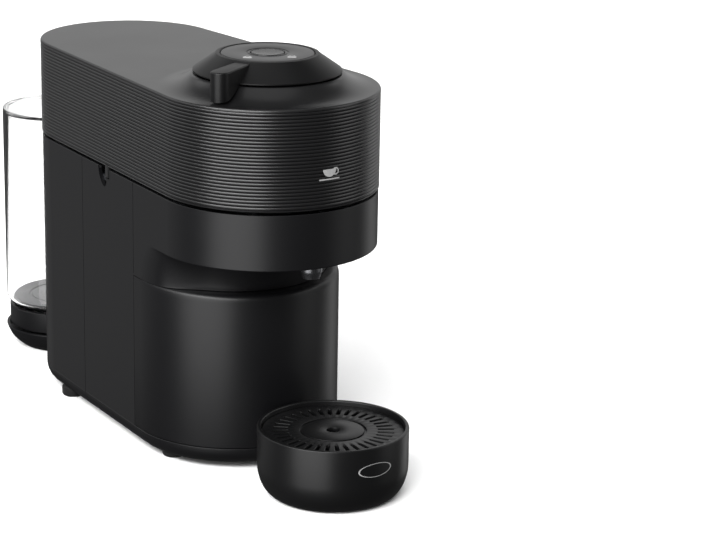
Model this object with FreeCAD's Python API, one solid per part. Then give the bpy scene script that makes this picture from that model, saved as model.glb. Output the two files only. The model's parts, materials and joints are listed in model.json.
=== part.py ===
import FreeCAD, Part
import math
import os

os.makedirs("parts", exist_ok=True)
V = FreeCAD.Vector
Z_AXIS = V(0, 0, 1)
X_AXIS = V(1, 0, 0)
Y_AXIS = V(0, 1, 0)

# Driving dimensions in millimetres. Z is up, the machine faces -Y,
# and the origin is on the table under the middle of the machine.
BREW_Y = -92.3            # vertical axis of the brewing head and its knob
REAR_Y = 75.0             # centre of the rounded rear end
HEAD_FRONT_R = 68.0       # front radius of the ribbed cap
HEAD_REAR_R = 57.6        # rear radius of the ribbed cap
TOP_Z = 234.0             # flat top of the cap
SEAM_Z = 171.8            # parting plane between cap and body
SEAM_GAP = 1.2
BODY_INSET = 0.4          # the body stands this far inside the cap
BAND_BOTTOM_Z = 137.1     # underside of the overhanging head band
COLUMN_Y = -55.3          # axis of the rounded column front
LEDGE_Z = 112.7           # shoulder where the column meets the cove
TOE_Z = 14.5              # top of the toe that runs under the container
BODY_BOTTOM_Z = 3.0
BOTTOM_ROUND = 11.0
WALL = 2.4
CAP_WALL = 3.0
CLEAR = 0.4               # gap around removable parts

RIB_COUNT = 24
RIB_DEPTH = 0.9

KNOB_BASE_R = 44.7
KNOB_BASE_Z = TOP_Z + 9.0
KNOB_TOP_R = 31.5
KNOB_TOP_Z = 254.0
DISC_R = 28.2
BUTTON_R = 10.0
BUTTON_TRAVEL = 1.0
FLARE_R = 67.0
FLARE_TOP_R = 45.6
FLARE_TOP_Z = TOP_Z + 8.0
LEVER_ANGLE = 210.0
LEVER_REACH = 60.5
LEVER_WIDTH = 10.0
DRUM_START = 160.0        # the lock drum is a sector, clear of the belt over its turn
DRUM_SPAN = 140.0

HINGE_Y = 124.7           # head hinge axis, on the parting plane
HINGE_PIN_R = 2.5
KNUCKLE_R = 4.2
SHROUD_R = 8.3
RELIEF_R = 9.0
SHROUD_HALF = 29.0
LUG_INNER = 9.0
LUG_OUTER = 14.0
PIN_HALF = 19.0

TRAY_Y = -167.6
TRAY_R = 45.4
TRAY_RIM_Z = 41.4
TRAY_WALL = 2.4
SLOT_COUNT = 36           # drain slots in the cup grid
SPOUT_Y = -141.8
SPOUT_R = 6.8
SPOUT_Z = 126.5

BAY_Y = -42.3             # back plane of the container bay

TANK_Y = 173.5
TANK_R = 39.2
TANK_TOP_Z = 168.6
TANK_WALL = 2.0
TANK_FLOOR_Z = 29.0
COLLAR_R = 37.0
COLLAR_Z = 15.0
HOLDER_R = 39.5
HOLDER_RIM_Z = 14.4
HOLDER_BASE_R = 30.0

HOLDER_TOP_Z = 167.6      # flange of the spinning capsule holder
CAPSULE_R = 31.0
MOTOR_Y = -12.0
BELT_Z = 214.0
MOTOR_PULLEY_R = 9.0
SPINDLE_PULLEY_R = 13.5

GLAND_X = 30.0            # cord inlet in the rear wall
GLAND_Z = 34.0
DUCT_Z = 8.8              # water duct from the tank holder into the body
SCREW_XS = (-34.0, 34.0)
BASE_SCREW_YS = (-28.0, 100.0)
FOOT_X = 50.0
FOOT_YS = (-65.7, 66.0)

DECK_Z = 162.0            # deck that carries the brewing parts
DECK_TOP = 165.2
COLLECTOR_R = 47.8
COLLECTOR_FLOOR = 139.7
BEARING_R = 11.0
STUB_R = 5.0
CHUTE_X = 34.0            # chute for used capsules
CHUTE_FRONT = -43.0
CHUTE_REAR = -6.0
BIN_REAR = 4.0

NECK_R = 79.0             # shallow arc of the cove between band and container
NECK_FRONT_Y = -112.4
NOTCH_Y = -8.0            # curved slot in the body side at the parting line
NOTCH_R = 11.5
NOTCH_WIDTH = 5.0
LUG_FRONT_Y = -7.6        # locating lug of the cap in the slot's pocket
LUG_REAR_Y = -1.4
LUG_DROP = 6.0
FLOOR_Z = 6.2             # parts stand here on the base plate

PUMP_X = -24.0
PUMP_Y = 40.0
HOSE_Z = 13.0
METER_Y = 84.0
BOILER_IN_X = 21.0
BOILER_OUT_X = 31.0
CARRIER_Z = 186.0         # plate that carries the spindle and the motor
CARRIER_TOP = 189.0
CARRIER_R = 47.0
FLANGE_Z = 173.0          # screwed floor of the head
FLANGE_TOP = 175.4
HEAD_SCREW_XS = (-48.0, 48.0)
HEAD_SCREW_YS = (-20.0, 60.0)
DRUM_BOTTOM = 168.2
DRUM_TOP = 227.0
CORE_Z = 238.0
CORE_SEAT_Z = 244.0
CORE_R = 24.8


# Helpers

def export(name, shape):
    shape.exportStep(os.path.join("parts", name + ".step"))


def cyl(x, y, z0, z1, radius):
    return Part.makeCylinder(radius, z1 - z0, V(x, y, z0), Z_AXIS)


def tube(x, y, z0, z1, outer, inner):
    return cyl(x, y, z0, z1, outer).cut(cyl(x, y, z0 - 1, z1 + 1, inner))


def box(x0, x1, y0, y1, z0, z1):
    return Part.makeBox(x1 - x0, y1 - y0, z1 - z0, V(x0, y0, z0))


def rod(start, end, radius):
    direction = V(*end) - V(*start)
    return Part.makeCylinder(radius, direction.Length, V(*start), direction)


def fuse(shapes):
    first = shapes[0]
    if len(shapes) == 1:
        return first
    return first.multiFuse(shapes[1:]).removeSplitter()


def prism(edges, z0, z1):
    face = Part.Face(Part.Wire(edges))
    face.translate(V(0, 0, z0))
    return face.extrude(V(0, 0, z1 - z0))


def teardrop(front_y, front_r, rear_y, rear_r, z0, z1):
    """Prism over two circles of different size and their common tangents."""
    ny = (front_r - rear_r) / (rear_y - front_y)
    nx = math.sqrt(1 - ny * ny)
    fr = V(front_r * nx, front_y + front_r * ny, 0)
    fl = V(-fr.x, fr.y, 0)
    rr = V(rear_r * nx, rear_y + rear_r * ny, 0)
    rl = V(-rr.x, rr.y, 0)
    edges = [
        Part.Arc(fl, V(0, front_y - front_r, 0), fr).toShape(),
        Part.LineSegment(fr, rr).toShape(),
        Part.Arc(rr, V(0, rear_y + rear_r, 0), rl).toShape(),
        Part.LineSegment(rl, fl).toShape(),
    ]
    return prism(edges, z0, z1)


def cap_prism(inset, z0, z1):
    return teardrop(BREW_Y, HEAD_FRONT_R - inset, REAR_Y, HEAD_REAR_R - inset, z0, z1)


def column_radius():
    taper = (HEAD_FRONT_R - HEAD_REAR_R) / (REAR_Y - BREW_Y)
    return HEAD_FRONT_R - taper * (COLUMN_Y - BREW_Y)


def column_prism(inset, z0, z1):
    return teardrop(COLUMN_Y, column_radius() - inset, REAR_Y, HEAD_REAR_R - inset, z0, z1)


def revolve(points, x, y):
    """Solid of revolution about a vertical axis from (radius, z) points."""
    corners = [V(r, 0, z) for r, z in points]
    wire = Part.makePolygon(corners + [corners[0]])
    solid = Part.Face(wire).revolve(V(0, 0, 0), Z_AXIS, 360)
    solid.translate(V(x, y, 0))
    return solid


def edges_at(shape, z, tolerance=0.01):
    return [e for e in shape.Edges
            if abs(e.BoundBox.ZMin - z) < tolerance and abs(e.BoundBox.ZMax - z) < tolerance]


def round_at(shape, z, radius):
    return shape.makeFillet(radius, edges_at(shape, z))


def spread(shape, places):
    copies = []
    for x, y, z in places:
        copy = shape.copy()
        copy.translate(V(x, y, z))
        copies.append(copy)
    return copies


def pipe(points, radius, bend, bore=0.0):
    """Hose through points with straight runs joined by tangent arcs."""
    pts = [V(*p) for p in points]
    edges = []
    last = pts[0]
    for here, corner, there in zip(pts, pts[1:], pts[2:]):
        back = (here - corner).normalize()
        ahead = (there - corner).normalize()
        half = math.acos(max(-1.0, min(1.0, back.dot(ahead)))) / 2
        reach = bend / math.tan(half)
        a = corner + back * reach
        b = corner + ahead * reach
        bisector = (back + ahead).normalize()
        middle = corner + bisector * (bend / math.sin(half) - bend)
        edges.append(Part.LineSegment(last, a).toShape())
        edges.append(Part.Arc(a, middle, b).toShape())
        last = b
    edges.append(Part.LineSegment(last, pts[-1]).toShape())
    path = Part.Wire(edges)
    heading = pts[1] - pts[0]
    outer = Part.Wire(Part.makeCircle(radius, pts[0], heading))
    solid = path.makePipeShell([outer], True, False)
    if bore:
        inner = Part.Wire(Part.makeCircle(bore, pts[0], heading))
        solid = solid.cut(path.makePipeShell([inner], True, False))
    return solid


def coil_spring(x, y, z0, z1, radius, wire_r, turns):
    height = z1 - z0 - 2 * wire_r
    helix = Part.makeHelix(height / turns, height, radius)
    section = Part.Wire(Part.makeCircle(wire_r, V(radius, 0, 0), Y_AXIS))
    spring = Part.Wire(helix.Edges).makePipeShell([section], True, True)
    spring.translate(V(x, y, z0 + wire_r))
    return spring


def hinge_rod(half, radius):
    return Part.makeCylinder(radius, 2 * half, V(-half, HINGE_Y, SEAM_Z), X_AXIS)


def across(inner, outer, y0, y1, z0, z1):
    """The same box on both sides of the middle plane."""
    return fuse_apart([box(inner, outer, y0, y1, z0, z1), box(-outer, -inner, y0, y1, z0, z1)])


def fuse_apart(shapes):
    return shapes[0].multiFuse(shapes[1:])


# Body: shell, base, feet

def side_notch(side):
    """Curved open-topped slot and lug pocket in the side of the body."""
    depth = 40.0
    x0 = depth * side
    low = min(x0, 2 * x0)
    high = max(x0, 2 * x0)
    direction = V(side, 0, 0)
    centre = V(x0, NOTCH_Y, SEAM_Z)
    ring = Part.makeCylinder(NOTCH_R + NOTCH_WIDTH / 2, depth, centre, direction)
    ring = ring.cut(Part.makeCylinder(NOTCH_R - NOTCH_WIDTH / 2, depth, centre, direction))
    end_y = NOTCH_Y + 2.0
    quarter = ring.common(box(low, high, end_y, NOTCH_Y + 20, SEAM_Z - 20, SEAM_Z))
    tip = Part.makeCylinder(NOTCH_WIDTH / 2, depth, V(x0, end_y, SEAM_Z - NOTCH_R), direction)
    pocket = box(low, high, NOTCH_Y - CLEAR, NOTCH_Y + 9.4, SEAM_Z - LUG_DROP - 0.6, SEAM_Z + 1)
    return fuse([quarter, tip, pocket])


def neck_disc(inset, z0, z1):
    """Shallower arc across the cove, where the column front is scooped out."""
    return cyl(0, NECK_FRONT_Y + NECK_R, z0, z1, NECK_R - inset)


def make_body_shell():
    band = cap_prism(BODY_INSET, BAND_BOTTOM_Z, SEAM_Z - SEAM_GAP / 2)
    column = column_prism(BODY_INSET, BODY_BOTTOM_Z, BAND_BOTTOM_Z)
    column = round_at(column, BODY_BOTTOM_Z, BOTTOM_ROUND)
    cove = column_prism(-5, LEDGE_Z, BAND_BOTTOM_Z).common(
        box(-100, 100, -200, -80, LEDGE_Z, BAND_BOTTOM_Z))
    cove = cove.cut(neck_disc(0, LEDGE_Z - 1, BAND_BOTTOM_Z + 1))
    column = column.cut(cove)
    outer = fuse([band, column])
    top_room = cap_prism(BODY_INSET + WALL, BAND_BOTTOM_Z + WALL, SEAM_Z)
    low_room = column_prism(BODY_INSET + WALL, BODY_BOTTOM_Z - 1, BAND_BOTTOM_Z + WALL + 1)
    neck_room = low_room.common(box(-100, 100, -200, 200, LEDGE_Z + WALL, BAND_BOTTOM_Z + WALL + 1))
    neck_room = neck_room.common(fuse([neck_disc(WALL, LEDGE_Z, BAND_BOTTOM_Z + 9),
                                       box(-100, 100, -80, 200, LEDGE_Z, BAND_BOTTOM_Z + 9)]))
    rear_room = low_room.common(box(-100, 100, BAY_Y + WALL, 200, BODY_BOTTOM_Z + BOTTOM_ROUND, LEDGE_Z + 10))
    foot_room = column_prism(BODY_INSET + BOTTOM_ROUND, BODY_BOTTOM_Z - 1, BODY_BOTTOM_Z + BOTTOM_ROUND + 1)
    foot_room = foot_room.common(box(-100, 100, BAY_Y + WALL, 200, 0, 30))
    toe_room = column_prism(BODY_INSET + BOTTOM_ROUND, BODY_BOTTOM_Z - 1, TOE_Z - WALL)
    toe_room = toe_room.common(box(-100, 100, -200, BAY_Y, 0, 30))
    bay = box(-100, 100, -200, BAY_Y, TOE_Z, LEDGE_Z)
    bin_door = box(-50.6, 50.6, BAY_Y - 1, BAY_Y + 10, TOE_Z + 2.6, 109.0)
    drop = column_prism(BODY_INSET + WALL + 8, LEDGE_Z - 1, LEDGE_Z + WALL + 1).common(
        box(-100, 100, -102, BAY_Y - 3, 0, 200))
    shell = outer
    for room in (top_room, neck_room, rear_room, foot_room, toe_room, bay, bin_door, drop):
        shell = shell.cut(room)
    shell = shell.cut(hinge_rod(SHROUD_HALF + 1.2, RELIEF_R))
    shell = shell.cut(side_notch(1)).cut(side_notch(-1))
    spout_hole = cyl(0, SPOUT_Y, BAND_BOTTOM_Z - 1, BAND_BOTTOM_Z + WALL + 1, SPOUT_R + 0.1)
    gland_hole = rod((GLAND_X, 100, GLAND_Z), (GLAND_X, 150, GLAND_Z), 6.05)
    duct_hole = rod((0, 110, DUCT_Z), (0, 140, DUCT_Z), 2.65)
    for hole in [spout_hole, gland_hole, duct_hole] + foot_pockets():
        shell = shell.cut(hole)
    return shell


def foot_pockets():
    pocket = cyl(0, 0, BODY_BOTTOM_Z - 1, 5.9, 7.45)
    return spread(pocket, [(x, y, 0) for x in (-FOOT_X, FOOT_X) for y in FOOT_YS])


def make_base_plate():
    inset = BODY_INSET + BOTTOM_ROUND + CLEAR / 2
    plate = column_prism(inset, BODY_BOTTOM_Z, BODY_BOTTOM_Z + 3)
    plate = plate.common(box(-100, 100, BAY_Y + WALL + CLEAR, 200, 0, 30))
    vents = [box(-22, 22, y, y + 3, 0, 20) for y in range(0, 50, 8)]
    screws = [cyl(x, y, 0, 20, 1.65) for x in SCREW_XS for y in BASE_SCREW_YS]
    for hole in vents + screws + foot_pockets():
        plate = plate.cut(hole)
    return plate


def make_feet():
    foot = revolve([(0, 0), (6.2, 0), (7.4, 1.2), (7.4, 5.9), (0, 5.9)], 0, 0)
    return Part.makeCompound(spread(foot, [(x, y, 0) for x in (-FOOT_X, FOOT_X) for y in FOOT_YS]))


# Body: brewing parts under the head

def make_inner_deck():
    deck = cap_prism(BODY_INSET + WALL + CLEAR / 2, DECK_Z, DECK_TOP)
    deck = deck.cut(cyl(0, BREW_Y, 0, 200, COLLECTOR_R + 0.2))
    deck = deck.cut(box(-CHUTE_X, CHUTE_X, CHUTE_FRONT, CHUTE_REAR, 0, 200))
    return deck.cut(box(-SHROUD_HALF - 3, SHROUD_HALF + 3, 113, 140, 0, 200))


def make_coffee_collector():
    top = DECK_TOP
    cup = revolve([(12.6, COLLECTOR_FLOOR), (COLLECTOR_R, COLLECTOR_FLOOR), (COLLECTOR_R, top),
                   (51.0, top), (51.0, top + 1.2), (46.2, top + 1.2), (46.2, 141.4),
                   (12.6, 141.4)], 0, BREW_Y)
    housing = tube(0, BREW_Y, 127.5, 141.4, BEARING_R + 2.5, BEARING_R)
    chute = box(-9, 9, SPOUT_Y - 10, SPOUT_Y + 8, COLLECTOR_FLOOR, 152)
    room = box(-7.4, 7.4, SPOUT_Y - 8.4, SPOUT_Y + 12, 141.4, 150.4)
    body = fuse([cup, housing, chute]).cut(room)
    return body.cut(cyl(0, SPOUT_Y, 130, 145, 4.5))


def make_coffee_spout():
    return revolve([(4.6, SPOUT_Z), (5.4, SPOUT_Z), (SPOUT_R, SPOUT_Z + 4), (SPOUT_R, 139.6),
                    (4.6, 139.6)], 0, SPOUT_Y)


def make_holder_bearing():
    outer = tube(0, BREW_Y, 129, 137, BEARING_R, BEARING_R - 2)
    inner = tube(0, BREW_Y, 129, 137, STUB_R + 2, STUB_R + 0.05)
    seal = tube(0, BREW_Y, 131, 135, BEARING_R - 2, STUB_R + 2)
    return fuse([outer, seal, inner])


def make_capsule_holder():
    top = HOLDER_TOP_Z
    bowl = revolve([(0, 141.6), (20, 141.6), (26, 146), (29.6, 163.6), (33.5, 164.6), (33.5, top),
                    (CAPSULE_R, top), (CAPSULE_R, top - 1.2), (28.0, top - 1.6), (24.4, 147),
                    (19.4, 143.2), (0, 143.2)], 0, BREW_Y)
    return fuse([bowl, cyl(0, BREW_Y, 127, 141.6, STUB_R)])


def make_lock_ring():
    ring = tube(0, BREW_Y, DECK_TOP, 167.6, 58, 52)
    for i in range(3):
        angle = math.radians(30 + 120 * i)
        ring = ring.cut(cyl(58 * math.cos(angle), BREW_Y + 58 * math.sin(angle), 166.2, 170, 7))
    return ring


def make_eject_chute():
    outer = box(-CHUTE_X + 0.2, CHUTE_X - 0.2, CHUTE_FRONT + 0.2, CHUTE_REAR - 0.2, 118, DECK_TOP)
    inner = box(-CHUTE_X + 1.8, CHUTE_X - 1.8, CHUTE_FRONT + 1.8, CHUTE_REAR - 1.8, 117, 170)
    return outer.cut(inner)


# Body: water and power parts behind the container

def make_pump():
    barrel = cyl(PUMP_X, PUMP_Y, 30, 96, 17)
    yoke = box(PUMP_X - 18, PUMP_X + 18, PUMP_Y - 14, PUMP_Y + 14, 48, 78)
    neck = cyl(PUMP_X, PUMP_Y, 18, 30, 6)
    outlet = cyl(PUMP_X, PUMP_Y, 96, 108, 4)
    return fuse([barrel, yoke, neck, outlet])


def make_pump_mounts():
    low = tube(PUMP_X, PUMP_Y, 22, 30, 17.5, 6.05)
    high = tube(PUMP_X, PUMP_Y, 96, 103, 17.5, 4.05)
    return Part.makeCompound([low, high])


def make_pump_bracket():
    left = PUMP_X - 22
    right = PUMP_X + 22
    front = PUMP_Y - 18
    back = PUMP_Y + 21
    post = box(left, right, back - 3, back, FLOOR_Z, 112)
    low = box(left, right, front, back, 19, 22).cut(cyl(PUMP_X, PUMP_Y, 0, 50, 6.3))
    high = box(left, right, front, back, 103, 106).cut(cyl(PUMP_X, PUMP_Y, 90, 120, 4.3))
    hose_hole = rod((PUMP_X, back - 10, HOSE_Z), (PUMP_X, back + 10, HOSE_Z), 3.0)
    return fuse([post, low, high]).cut(hose_hole)


def make_flow_meter():
    disc = cyl(PUMP_X, METER_Y, 7, 22, 15)
    inlet = rod((PUMP_X, METER_Y, HOSE_Z), (PUMP_X, METER_Y + 20, HOSE_Z), 3)
    outlet = rod((PUMP_X, METER_Y, HOSE_Z), (PUMP_X, METER_Y - 18, HOSE_Z), 2.6)
    return fuse([disc, inlet, outlet])


def make_boiler():
    block = box(12, 50, PUMP_Y - 20, PUMP_Y + 22, 30, 130)
    block = block.makeFillet(4, [e for e in block.Edges if e.BoundBox.ZLength > 50])
    fins = [box(9, 12.5, y, y + 3, 36, 124) for y in range(24, 60, 6)]
    ports = [cyl(BOILER_IN_X, PUMP_Y, 24, 31, 4), cyl(BOILER_OUT_X, PUMP_Y, 129, 138, 4)]
    legs = [box(x, x + 6, y, y + 6, FLOOR_Z, 31) for x in (15, 41) for y in (23, 53)]
    return fuse([block] + fins + ports + legs)


def make_feed_hose():
    return pipe([(PUMP_X, METER_Y + 20.2, HOSE_Z), (PUMP_X, 110, 12), (0, 110.5, DUCT_Z),
                 (0, 115.8, DUCT_Z)], 2.6, 2.6, 1.5)


def make_pump_hose():
    return pipe([(PUMP_X, METER_Y - 18.2, HOSE_Z), (PUMP_X, PUMP_Y, HOSE_Z), (PUMP_X, PUMP_Y, 17.8)],
                2.6, 3.0, 1.5)


def make_boiler_hose():
    return pipe([(PUMP_X, PUMP_Y, 108.2), (PUMP_X, PUMP_Y, 124), (3.5, PUMP_Y, 124),
                 (3.5, PUMP_Y, 18), (BOILER_IN_X, PUMP_Y, 18), (BOILER_IN_X, PUMP_Y, 23.8)],
                2.6, 4, 1.5)


def make_brew_hose():
    return pipe([(BOILER_OUT_X, PUMP_Y, 138.2), (BOILER_OUT_X, PUMP_Y, 152), (BOILER_OUT_X, 96, 156),
                 (24, 116, 160)], 2.4, 6, 1.2)


def make_head_hose():
    banjo = cyl(0, BREW_Y, 219.4, 223.4, 7)
    run = pipe([(6.5, BREW_Y, 221.2), (16, BREW_Y, 221.2), (16, 24, 221.2), (22, 60, 196),
                (24, 104, 180)], 2.0, 6, 1.0)
    return fuse([banjo, run])


def make_control_board():
    return box(-40, 40, 68, 69.6, 50, 140)


def make_board_parts():
    transformer = box(-36, -16, 69.6, 86, 112, 134)
    capacitor = rod((0, 69.6, 120), (0, 90, 120), 8)
    relay = box(12, 34, 69.6, 84, 108, 130)
    processor = box(-8, 8, 69.6, 73, 60, 74)
    plugs = [box(-34 + 9 * i, -28 + 9 * i, 69.6, 79, 84, 96) for i in range(7)]
    return Part.makeCompound([transformer, capacitor, relay, processor] + plugs)


def make_board_frame():
    posts = [box(x, x + 4, 64, 72, FLOOR_Z, 142) for x in (-46, 42)]
    rails = [box(-42, 42, 64, 67.8, 46, 50), box(-42, 42, 64, 67.8, 138, 142)]
    return fuse(posts + rails)


def make_cord_gland():
    face_y = REAR_Y + math.sqrt((HEAD_REAR_R - BODY_INSET) ** 2 - GLAND_X ** 2)
    flange = rod((GLAND_X, face_y - 13, GLAND_Z), (GLAND_X, face_y - 10.5, GLAND_Z), 8)
    sleeve = rod((GLAND_X, face_y - 11, GLAND_Z), (GLAND_X, face_y + 7, GLAND_Z), 6)
    gland = fuse([flange, sleeve])
    return gland.cut(rod((GLAND_X, face_y - 14, GLAND_Z), (GLAND_X, face_y + 9, GLAND_Z), 3.6))


def make_tank_holder():
    bowl = revolve([(0, 0), (HOLDER_BASE_R - 1, 0), (HOLDER_BASE_R, 1), (33.6, 3.6), (36.6, 7.0),
                    (38.4, 10.6), (HOLDER_R, HOLDER_RIM_Z - 0.8), (HOLDER_R, HOLDER_RIM_Z),
                    (37.6, HOLDER_RIM_Z), (36.2, 11.0), (0, 11.0)], 0, TANK_Y)
    neck = box(-24, 24, 112, 150, BODY_BOTTOM_Z, 12.6)
    neck = neck.cut(column_prism(BODY_INSET - 0.05, 0, 30)).cut(cyl(0, TANK_Y, 10.9, 30, 36.2))
    stub = rod((0, 116, DUCT_Z), (0, 140, DUCT_Z), 2.6)
    bowl = fuse([bowl, neck, stub])
    duct = rod((0, 115, DUCT_Z), (0, TANK_Y, DUCT_Z), 1.5)
    return bowl.cut(duct).cut(cyl(0, TANK_Y, DUCT_Z, 12, 2.2))


def make_inlet_seal():
    return tube(0, TANK_Y, 11.0, 14.0, 5.0, 2.2)


def make_hinge_bracket():
    arms = []
    for x0, x1 in ((LUG_INNER, LUG_OUTER), (-LUG_OUTER, -LUG_INNER)):
        eye = Part.makeCylinder(KNUCKLE_R, x1 - x0, V(x0, HINGE_Y, SEAM_Z), X_AXIS)
        arms.append(eye)
        arms.append(box(x0, x1, 104, HINGE_Y, DECK_TOP, SEAM_Z - 0.6))
    plate = box(-18, 18, 98, 110, DECK_TOP, DECK_TOP + 2)
    return fuse(arms + [plate]).cut(hinge_rod(30, HINGE_PIN_R))


def make_hinge_pin():
    return hinge_rod(PIN_HALF, HINGE_PIN_R)


def make_base_screws():
    screw = fuse([cyl(0, 0, 1.2, 3.0, 3.2), cyl(0, 0, 3.0, 6.0, 1.6)])
    screw = screw.cut(box(-2.2, 2.2, -0.4, 0.4, 0, 2)).cut(box(-0.4, 0.4, -2.2, 2.2, 0, 2))
    return Part.makeCompound(spread(screw, [(x, y, 0) for x in SCREW_XS for y in BASE_SCREW_YS]))


# Head: cap, floor and drive

def ribbed_wall():
    """Outer cap prism whose wall carries rounded horizontal ribs."""
    bottom = SEAM_Z + SEAM_GAP / 2
    solid = cap_prism(0, bottom, TOP_Z)
    pitch = (TOP_Z - 1.2 - bottom) / RIB_COUNT
    groove_h = pitch * 0.42
    for i in range(1, RIB_COUNT + 1):
        z = bottom + i * pitch - groove_h / 2
        band = cap_prism(-2, z - groove_h / 2, z + groove_h / 2)
        solid = solid.cut(band.cut(cap_prism(RIB_DEPTH, z - 5, z + 5)))
    return solid


def flare_profile(offset):
    """Concave flare from the flat top up to the knob, as (radius, z) points."""
    steps = 12
    run = FLARE_R - FLARE_TOP_R
    rise = FLARE_TOP_Z - TOP_Z
    sweep = 2 * math.atan(rise / run)
    radius = run / math.sin(sweep)
    points = []
    for i in range(steps + 1):
        angle = sweep * i / steps
        points.append((FLARE_R - radius * math.sin(angle),
                       TOP_Z + radius * (1 - math.cos(angle)) - offset))
    return points


def make_head_cap():
    bottom = SEAM_Z + SEAM_GAP / 2
    shell = ribbed_wall().cut(cap_prism(CAP_WALL, bottom - 1, TOP_Z - CAP_WALL))
    flare = revolve(flare_profile(0) + [(FLARE_TOP_R, TOP_Z - 1), (FLARE_R, TOP_Z - 1)], 0, BREW_Y)
    under = revolve(flare_profile(CAP_WALL) + [(30, FLARE_TOP_Z - CAP_WALL), (30, TOP_Z - CAP_WALL - 3),
                                               (FLARE_R, TOP_Z - CAP_WALL - 3)], 0, BREW_Y)
    well = cyl(0, BREW_Y, TOP_Z - 10, TOP_Z + 20, FLARE_TOP_R - 2.4)
    shell = fuse([shell, flare]).cut(under).cut(well)
    lug_zone = across(30, 80, LUG_FRONT_Y, LUG_REAR_Y, SEAM_Z - LUG_DROP, bottom + 1)
    lugs = cap_prism(0, SEAM_Z - LUG_DROP, bottom + 1).cut(cap_prism(CAP_WALL, 0, 200)).common(lug_zone)
    shell = fuse([shell, lugs])
    shell = shell.cut(hinge_rod(PIN_HALF + 0.6, HINGE_PIN_R + 0.5))
    for x0 in (LUG_INNER - CLEAR, -LUG_OUTER - CLEAR):
        width = LUG_OUTER - LUG_INNER + 2 * CLEAR
        shell = shell.cut(Part.makeCylinder(KNUCKLE_R + 0.6, width, V(x0, HINGE_Y, SEAM_Z), X_AXIS))
    return shell


def make_head_floor():
    floor = cap_prism(CAP_WALL, FLANGE_Z, FLANGE_TOP)
    floor = floor.cut(cyl(0, BREW_Y, 0, 200, 57))
    floor = floor.cut(box(-24, 24, 114, 140, 0, 200))
    for x in HEAD_SCREW_XS:
        for y in HEAD_SCREW_YS:
            floor = floor.cut(cyl(x, y, FLANGE_Z - 3, FLANGE_TOP + 5, 1.55))
    return floor


def make_hinge_shroud():
    bottom = SEAM_Z + SEAM_GAP / 2
    sleeve = hinge_rod(SHROUD_HALF, SHROUD_R).cut(hinge_rod(SHROUD_HALF + 1, SHROUD_R - 1.2))
    sleeve = sleeve.common(cap_prism(0, SEAM_Z - 20, bottom))
    sleeve = sleeve.common(box(-40, 40, HINGE_Y, 140, SEAM_Z - 20, bottom))
    gap = across(LUG_INNER - CLEAR, LUG_OUTER + CLEAR, 100, 150, 150, 190)
    return sleeve.cut(gap)


def make_hinge_knuckles():
    bottom = SEAM_Z + SEAM_GAP / 2
    spans = ((-LUG_INNER + CLEAR, LUG_INNER - CLEAR), (LUG_OUTER + CLEAR, PIN_HALF),
             (-PIN_HALF, -LUG_OUTER - CLEAR))
    parts = []
    for x0, x1 in spans:
        eye = Part.makeCylinder(KNUCKLE_R, x1 - x0, V(x0, HINGE_Y, SEAM_Z), X_AXIS)
        web = box(x0, x1, 118, HINGE_Y, bottom + 0.6, SEAM_Z + KNUCKLE_R)
        parts.append(fuse([eye, web]).cut(hinge_rod(30, HINGE_PIN_R + 0.06)))
    return parts


def make_brew_carrier():
    plate = tube(0, BREW_Y, CARRIER_Z, CARRIER_TOP, CARRIER_R, BEARING_R)
    skirt = tube(0, BREW_Y, CARRIER_Z - 7, CARRIER_Z, CARRIER_R, CARRIER_R - 3)
    ears = box(-44, 44, BREW_Y + 20, MOTOR_Y + 24, CARRIER_Z, CARRIER_TOP)
    ears = ears.cut(cyl(0, BREW_Y, 180, 200, 40)).cut(cyl(0, MOTOR_Y, 180, 200, 21.3))
    legs = [box(x, x + 5, y, y + 8, FLANGE_TOP, CARRIER_Z) for x in (-44, 39) for y in (-30, 2)]
    boss = tube(0, BREW_Y, CARRIER_Z - 7.6, CARRIER_TOP, BEARING_R + 3, BEARING_R)
    return fuse([plate, skirt, ears, boss] + legs)


def make_spindle_bearing():
    outer = tube(0, BREW_Y, 180, 188, BEARING_R, BEARING_R - 2)
    inner = tube(0, BREW_Y, 180, 188, STUB_R + 2, STUB_R + 0.05)
    seal = tube(0, BREW_Y, 182, 186, BEARING_R - 2, STUB_R + 2)
    return fuse([outer, seal, inner])


def make_brew_bell():
    skirt = revolve([(0, 169.4), (34.6, 169.4), (34.6, 163.4), (37.2, 163.4), (40.0, 169.4),
                     (40.0, 172.2), (14, 176.6), (STUB_R, 176.6), (STUB_R, 219), (0, 219)], 0, BREW_Y)
    needles = [rod((0, BREW_Y, 169.6), (0, BREW_Y, 160.5), 1.6)]
    for i in range(12):
        angle = 2 * math.pi * i / 12
        x = 26.5 * math.cos(angle)
        y = BREW_Y + 26.5 * math.sin(angle)
        needles.append(rod((x, y, 169.6), (x, y, 167.9), 0.8))
    return fuse([skirt] + needles)


def make_pulley(y, radius, bore):
    return revolve([(bore, BELT_Z - 4), (radius + 1.5, BELT_Z - 4), (radius + 1.5, BELT_Z - 3),
                    (radius, BELT_Z - 2.4), (radius, BELT_Z + 2.4), (radius + 1.5, BELT_Z + 3),
                    (radius + 1.5, BELT_Z + 4), (bore, BELT_Z + 4)], 0, y)


def make_drive_belt():
    outer = teardrop(BREW_Y, SPINDLE_PULLEY_R + 1.5, MOTOR_Y, MOTOR_PULLEY_R + 1.5,
                     BELT_Z - 2.1, BELT_Z + 2.1)
    inner = teardrop(BREW_Y, SPINDLE_PULLEY_R + 0.3, MOTOR_Y, MOTOR_PULLEY_R + 0.3,
                     BELT_Z - 3, BELT_Z + 3)
    return outer.cut(inner)


def make_brew_motor():
    can = cyl(0, MOTOR_Y, 178, 204, 21)
    nose = tube(0, MOTOR_Y, 204, 207, 8, 3.2)
    shaft_room = cyl(0, MOTOR_Y, 190, 210, 3.2)
    return fuse([can.cut(shaft_room), nose])


def make_motor_shaft():
    return cyl(0, MOTOR_Y, 190.4, 220, 3.1)


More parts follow.
